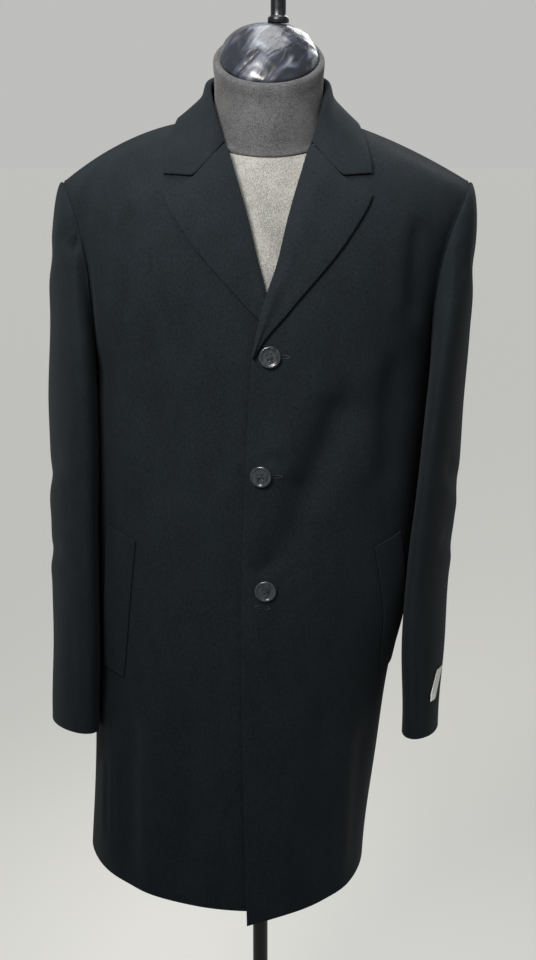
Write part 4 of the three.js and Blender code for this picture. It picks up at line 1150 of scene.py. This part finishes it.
for key, place in buttons["places"].items():
    at = placeOn(panels["front"]["left"], place)
    here, out = liftFrom(panels["front"]["left"], at[:1], at[1:])
    spot = (here[0] + out[0] * buttons["lift"], out[0], buttons["turns"][key])
    disc, faceSets = closedRings(buttonRings())
    finish(f"button{key.title()}Disc", standing(disc, *spot), faceSets, horn, "horn", [f"button_{key}"])
    strands, faceSets = buttonThreads()
    finish(f"button{key.title()}Thread", standing(strands, *spot), faceSets, thread, "wool", [])
print("buttons made")

# buttonholes: a worked edge of close stitches round a slit
holes = {
    "stitchGap": 0.75, "radius": 0.31, "width": 2.2, "arch": 0.35,
    # middle of the hole from its button, its length, its slope in degrees
    "places": {"top": (9, 0, 28, 0), "middle": (11, 0, 28, -1), "lower": (-3, -19.5, 17, -8)},
}


def buttonhole(key):
    # an oval of stitches: each runs from the rim in to the slit
    x0, z0 = buttons["places"][key]
    dx, dz, length, slope = holes["places"][key]
    t = np.linspace(0, 2 * math.pi, int(2 * length / holes["stitchGap"]), endpoint=False)
    ends = length / 2 * np.sign(np.cos(t)) * np.abs(np.cos(t)) ** 0.6
    oval = np.stack([ends, holes["width"] * np.sin(t)], axis=1)
    a = math.radians(slope)
    turned = oval @ np.array([[math.cos(a), math.sin(a)], [-math.sin(a), math.cos(a)]])
    centre = np.array([x0 + dx, z0 + dz])
    return centre + turned, centre + turned * [0.93, 0.58]


def holePiece(key):
    rim, core = buttonhole(key)
    panel = panels["front"]["left"]
    first = placeOn(panel, rim[0])
    here, du, dv = ratesAt(panel, *first, 0.002)
    inverse = np.linalg.inv(np.array([[du[0], dv[0]], [du[2], dv[2]]]))
    t = np.linspace(0, 1, 5)[:, None]
    parts = []
    for outerEnd, innerEnd in zip(rim, core):
        line = outerEnd * (1 - t) + innerEnd * t
        places = first + (line - [here[0], here[2]]) @ inverse.T
        ground, out = liftFrom(panel, places[:, 0], places[:, 1])
        arch = 0.1 + holes["arch"] * np.sin(math.pi * t)
        parts.append(tube(ground + out * arch, holes["radius"], 6))
    return joined(parts)


for key in holes["places"]:
    finish(f"buttonhole{key.title()}Stitches", *holePiece(key), thread, "wool", [])
print("buttonholes made")

# the woven tab on the left sleeve
label = {
    "wide": 22, "tall": 34, "slant": 28, "wall": 1.0, "lift": 1.0, "curl": 1.6,
    # its place round and down the sleeve, and the lengths these run over
    "q": 0.046, "v": 1.846, "round": 380, "long": 397,
}


def labelPiece(name, node):
    u, v = np.meshgrid(np.linspace(0, 1, 30), np.linspace(0, 1, 50))
    q = label["q"] + ((u - 0.5) * label["wide"] + (v - 0.5) * label["slant"]) / label["round"]
    t = label["v"] + (v - 0.5) * label["tall"] / label["long"]
    grid = sleevePlaces("left", q.ravel(), t.ravel()).reshape(*u.shape, 3)
    normals = gridNormals(grid)
    # the free lower end curls off the cloth a little
    curl = label["curl"] * ease(clamp((v - 0.7) / 0.3, 0, 1)) * ease(clamp(u * 2, 0, 1))
    height = unevenness(grid, sleeves["waves"], 3.0) + label["lift"] + curl
    outer = grid + normals * (height + label["wall"])[..., None]
    inner = grid + normals * height[..., None]
    points, faceSets, uv = shell(outer, inner)
    return finish(name, points, faceSets, tape, "label_weave", [node], uv)


labelCloth = labelPiece("sleeveLabelTape", "sleeve_label")
print("label made")

# dress form
form = {
    "segments": 128, "neckShift": 1.0, "ripple": 0.6,
    # level, half width, front and back depth, tilt, pinch
    "torso": [
        (800, 116, -104, 92, 0, 1), (812, 124, -112, 100, 0, 1), (900, 138, -122, 108, 0, 1),
        (1000, 146, -124, 102, 0, 1), (1110, 156, -126, 100, 0, 1), (1230, 174, -132, 110, 0, 1),
        (1310, 180, -131, 116, 0, 1), (1370, 186, -117, 112, 0.02, 1.05), (1420, 196, -100, 100, 0.06, 1.15),
        (1446, 186, -88, 90, 0.12, 1.3), (1466, 148, -81, 80, 0.18, 1.4), (1480, 106, -77, 77, 0.25, 1.3),
        (1487, 72, -74, 76, 0.3, 1),
    ],
    "neck": [
        (1487.6, 66, -71, 74, 0.3, 1), (1487.3, 68.4, -73.4, 76.4, 0.3, 1), (1489, 69.4, -74.4, 77.2, 0.3, 1),
        (1496, 66.5, -71.5, 74.5, 0.31, 1), (1530, 63.5, -65, 69, 0.4, 1), (1558, 64, -61.8, 66.6, 0.48, 1),
        (1568, 65, -62.2, 66.8, 0.5, 1), (1574, 65.2, -62, 66.6, 0.52, 1), (1577.5, 63.2, -60, 64.6, 0.52, 1),
        (1578, 60.6, -57.4, 62, 0.52, 1), (1575.5, 58.4, -55.4, 60, 0.52, 1), (1575.2, 40, -38, 41, 0.52, 1),
    ],
    "cap": [
        (1575.6, 50, -47, 51, 0.52, 1), (1575.5, 56.4, -53.6, 58.2, 0.52, 1), (1579, 57.4, -54.4, 59, 0.52, 1),
        (1590, 53.5, -49.5, 54.5, 0.5, 1), (1602, 44, -38, 44, 0.42, 1), (1611, 30, -22, 30, 0.3, 1),
        (1616, 17, -10, 19, 0.06, 1), (1617, 8, -3, 9, 0, 1),
    ],
}


def formRings(rows, layers, shift, ripple=None):
    # level ellipses with their own front and back depth, tilted up towards the back
    rows = np.array(rows, float)
    knots = knotsAlong(rows[:, :2])
    z, half, front, back, tilt, pinch = through(knots, rows, np.linspace(0, 1, layers)).T[:, :, None]
    angles = np.linspace(0, 2 * math.pi, form["segments"], endpoint=False)[None]
    pinched = lambda value: np.sign(value) * np.abs(value) ** pinch
    y = np.abs(pinched(np.sin(angles))) * np.where(np.sin(angles) < 0, front, back)
    rings = np.stack([shift + half * pinched(np.cos(angles)), y, z + tilt * y], axis=-1)
    if ripple is not None:
        out = rings - rings.mean(axis=1, keepdims=True)
        rings = rings + unit(out) * ripple(rings, angles)[..., None]
    return rings


def filmRipple(rings, angles):
    # creases of the film run up the dome, leaning, and die out at its foot and crown
    z = rings[..., 2]
    rise = clamp((z - z.min(axis=0)) / (z.max(axis=0) - z.min(axis=0)), 0, 1)
    lean = angles + 1.6 * rise
    wave = 0.5 * np.sin(11 * lean + 1.1 * np.sin(3 * lean)) + 0.35 * np.sin(17 * lean - 2.0)
    wave = wave + 0.3 * np.sin(6 * lean)
    return form["ripple"] * wave * np.sin(math.pi * clamp(rise * 1.1, 0, 1))


torsoRings = formRings(form["torso"], 150, 0)
torso = finish("formTorsoJersey", *closedRings(torsoRings), jersey, "jersey", ["form_torso"])
neckRings = formRings(form["neck"], 110, form["neckShift"])
neck = finish("formNeckJersey", *closedRings(neckRings), shadedNeckJersey, "jersey", ["form_neck"])
capRings = formRings(form["cap"], 90, form["neckShift"], filmRipple)
finish("neckCapFilm", *closedRings(capRings), film, "dark_gloss", ["neck_cap"])
print("form made")

# finial, pole and base
stand = {
    "finialPlace": (12, 6), "segments": 64,
    "finial": [
        (0, 1617.7), (12.1, 1617.7), (12.5, 1618.2), (12.5, 1622.4), (12.0, 1624), (10.6, 1625), (9.4, 1625.8),
        (9.0, 1627), (9.0, 1661), (8.6, 1663.4), (6.4, 1665.6), (4, 1666), (0, 1666),
    ],
    "pole": [(0, 14.3), (9.5, 14.3), (9.5, 799.6), (0, 799.6)],
    "base": [
        (0, 0), (158.4, 0), (159.7, 0.4), (160, 1.4), (159.9, 4.6), (159, 5.7), (157, 6), (56, 9), (30, 9.8),
        (26.5, 10.2), (24, 12), (22.8, 13.6), (21.5, 14), (0, 14),
    ],
}


def lathed(name, profile, steps, material, slot, node, centre, offset):
    # long straight stretches are cut in steps, and the ends stop just short of the axis
    profile = np.array(profile, float)
    line = [profile[0]]
    for a, b in zip(profile[:-1], profile[1:]):
        count = max(1, int(np.linalg.norm(b - a) / steps))
        line += [a + (b - a) * k / count for k in range(1, count + 1)]
    line = np.array(line)
    line[:, 0] = np.maximum(line[:, 0], 0.05)
    finish(name, *turnedSurface(line, stand["segments"], centre), material, slot, [node], None, offset)


finialPlace = (stand["finialPlace"], shared["formOffset"])
lathed("finialSteel", stand["finial"], 6.0, steel, "steel", "neck_finial", *finialPlace)
lathed("poleEnamel", stand["pole"], 30.0, enamel, "black_paint", "stand_pole", (0, 0), 0)
lathed("baseEnamel", stand["base"], 12.0, enamel, "black_paint", "stand_base", (0, 0), 0)
print("stand made")
# floor and light
studio = {
    "floor": "#b8b8b5", "glow": 0.54, "reach": 60.0, "world": "#efefed", "worldStrength": 0.6,
    # name, place, aimed at, size, spread in degrees, watts, colour
    "lights": [
        ("keyLight", (-0.6, -1.25, 2.4), (0, -0.1, 1.5), 0.7, 54, 8.2, "#fff9f2"),
        ("fillLight", (1.3, -1.5, 2.2), (0, -0.1, 1.45), 1.0, 80, 0.5, "#eef4ff"),
        ("topLight", (0.0, 0.0, 2.7), (0, 0, 1.5), 0.9, 90, 4.6, "#ffffff"),
        ("backLight", (0.9, 1.8, 2.5), (0, 0, 1.2), 1.2, 100, 6, "#ffffff"),
    ],
}


def aimedLight(name, place, target, size, spread, watts, colour):
    light = bpy.data.lights.new(name, "AREA")
    light.shape, light.size, light.energy = "DISK", size, watts
    light.spread = math.radians(spread)
    light.color = hexColour(colour)[:3]
    holder = bpy.data.objects.new(name, light)
    holder.location = place
    aim = np.subtract(target, place)
    pitch = math.atan2(math.hypot(aim[0], aim[1]), -aim[2])
    holder.rotation_euler = (pitch, 0, math.atan2(-aim[0], aim[1]))
    bpy.context.scene.collection.objects.link(holder)


for row in studio["lights"]:
    aimedLight(*row)

world = bpy.data.worlds.new("paleStudio")
world.use_nodes = True
background = world.node_tree.nodes["Background"]
background.inputs["Color"].default_value = hexColour(studio["world"])
background.inputs["Strength"].default_value = studio["worldStrength"]
bpy.context.scene.world = world
bpy.context.scene.view_settings.view_transform = "Standard"

reach = studio["reach"]
floorMesh = bpy.data.meshes.new("studioFloor")
floorCorners = [(x * reach, y * reach, 0) for x, y in ((-1, -1), (1, -1), (1, 1), (-1, 1))]
floorMesh.from_pydata(floorCorners, [], [(0, 1, 2, 3)])
floor = bpy.data.objects.new("studioFloor", floorMesh)
bpy.context.scene.collection.objects.link(floor)
floorPaint, floorTree, floorShader = startMaterial("matteFloorPaint")
connect(floorTree, floorShader, {
    "Base Color": hexColour(studio["floor"]), "Roughness": 0.9,
    "Emission Color": hexColour(studio["floor"]), "Emission Strength": studio["glow"],
})
floorMesh.materials.append(floorPaint)
print("studio made")

bpy.context.view_layer.update()
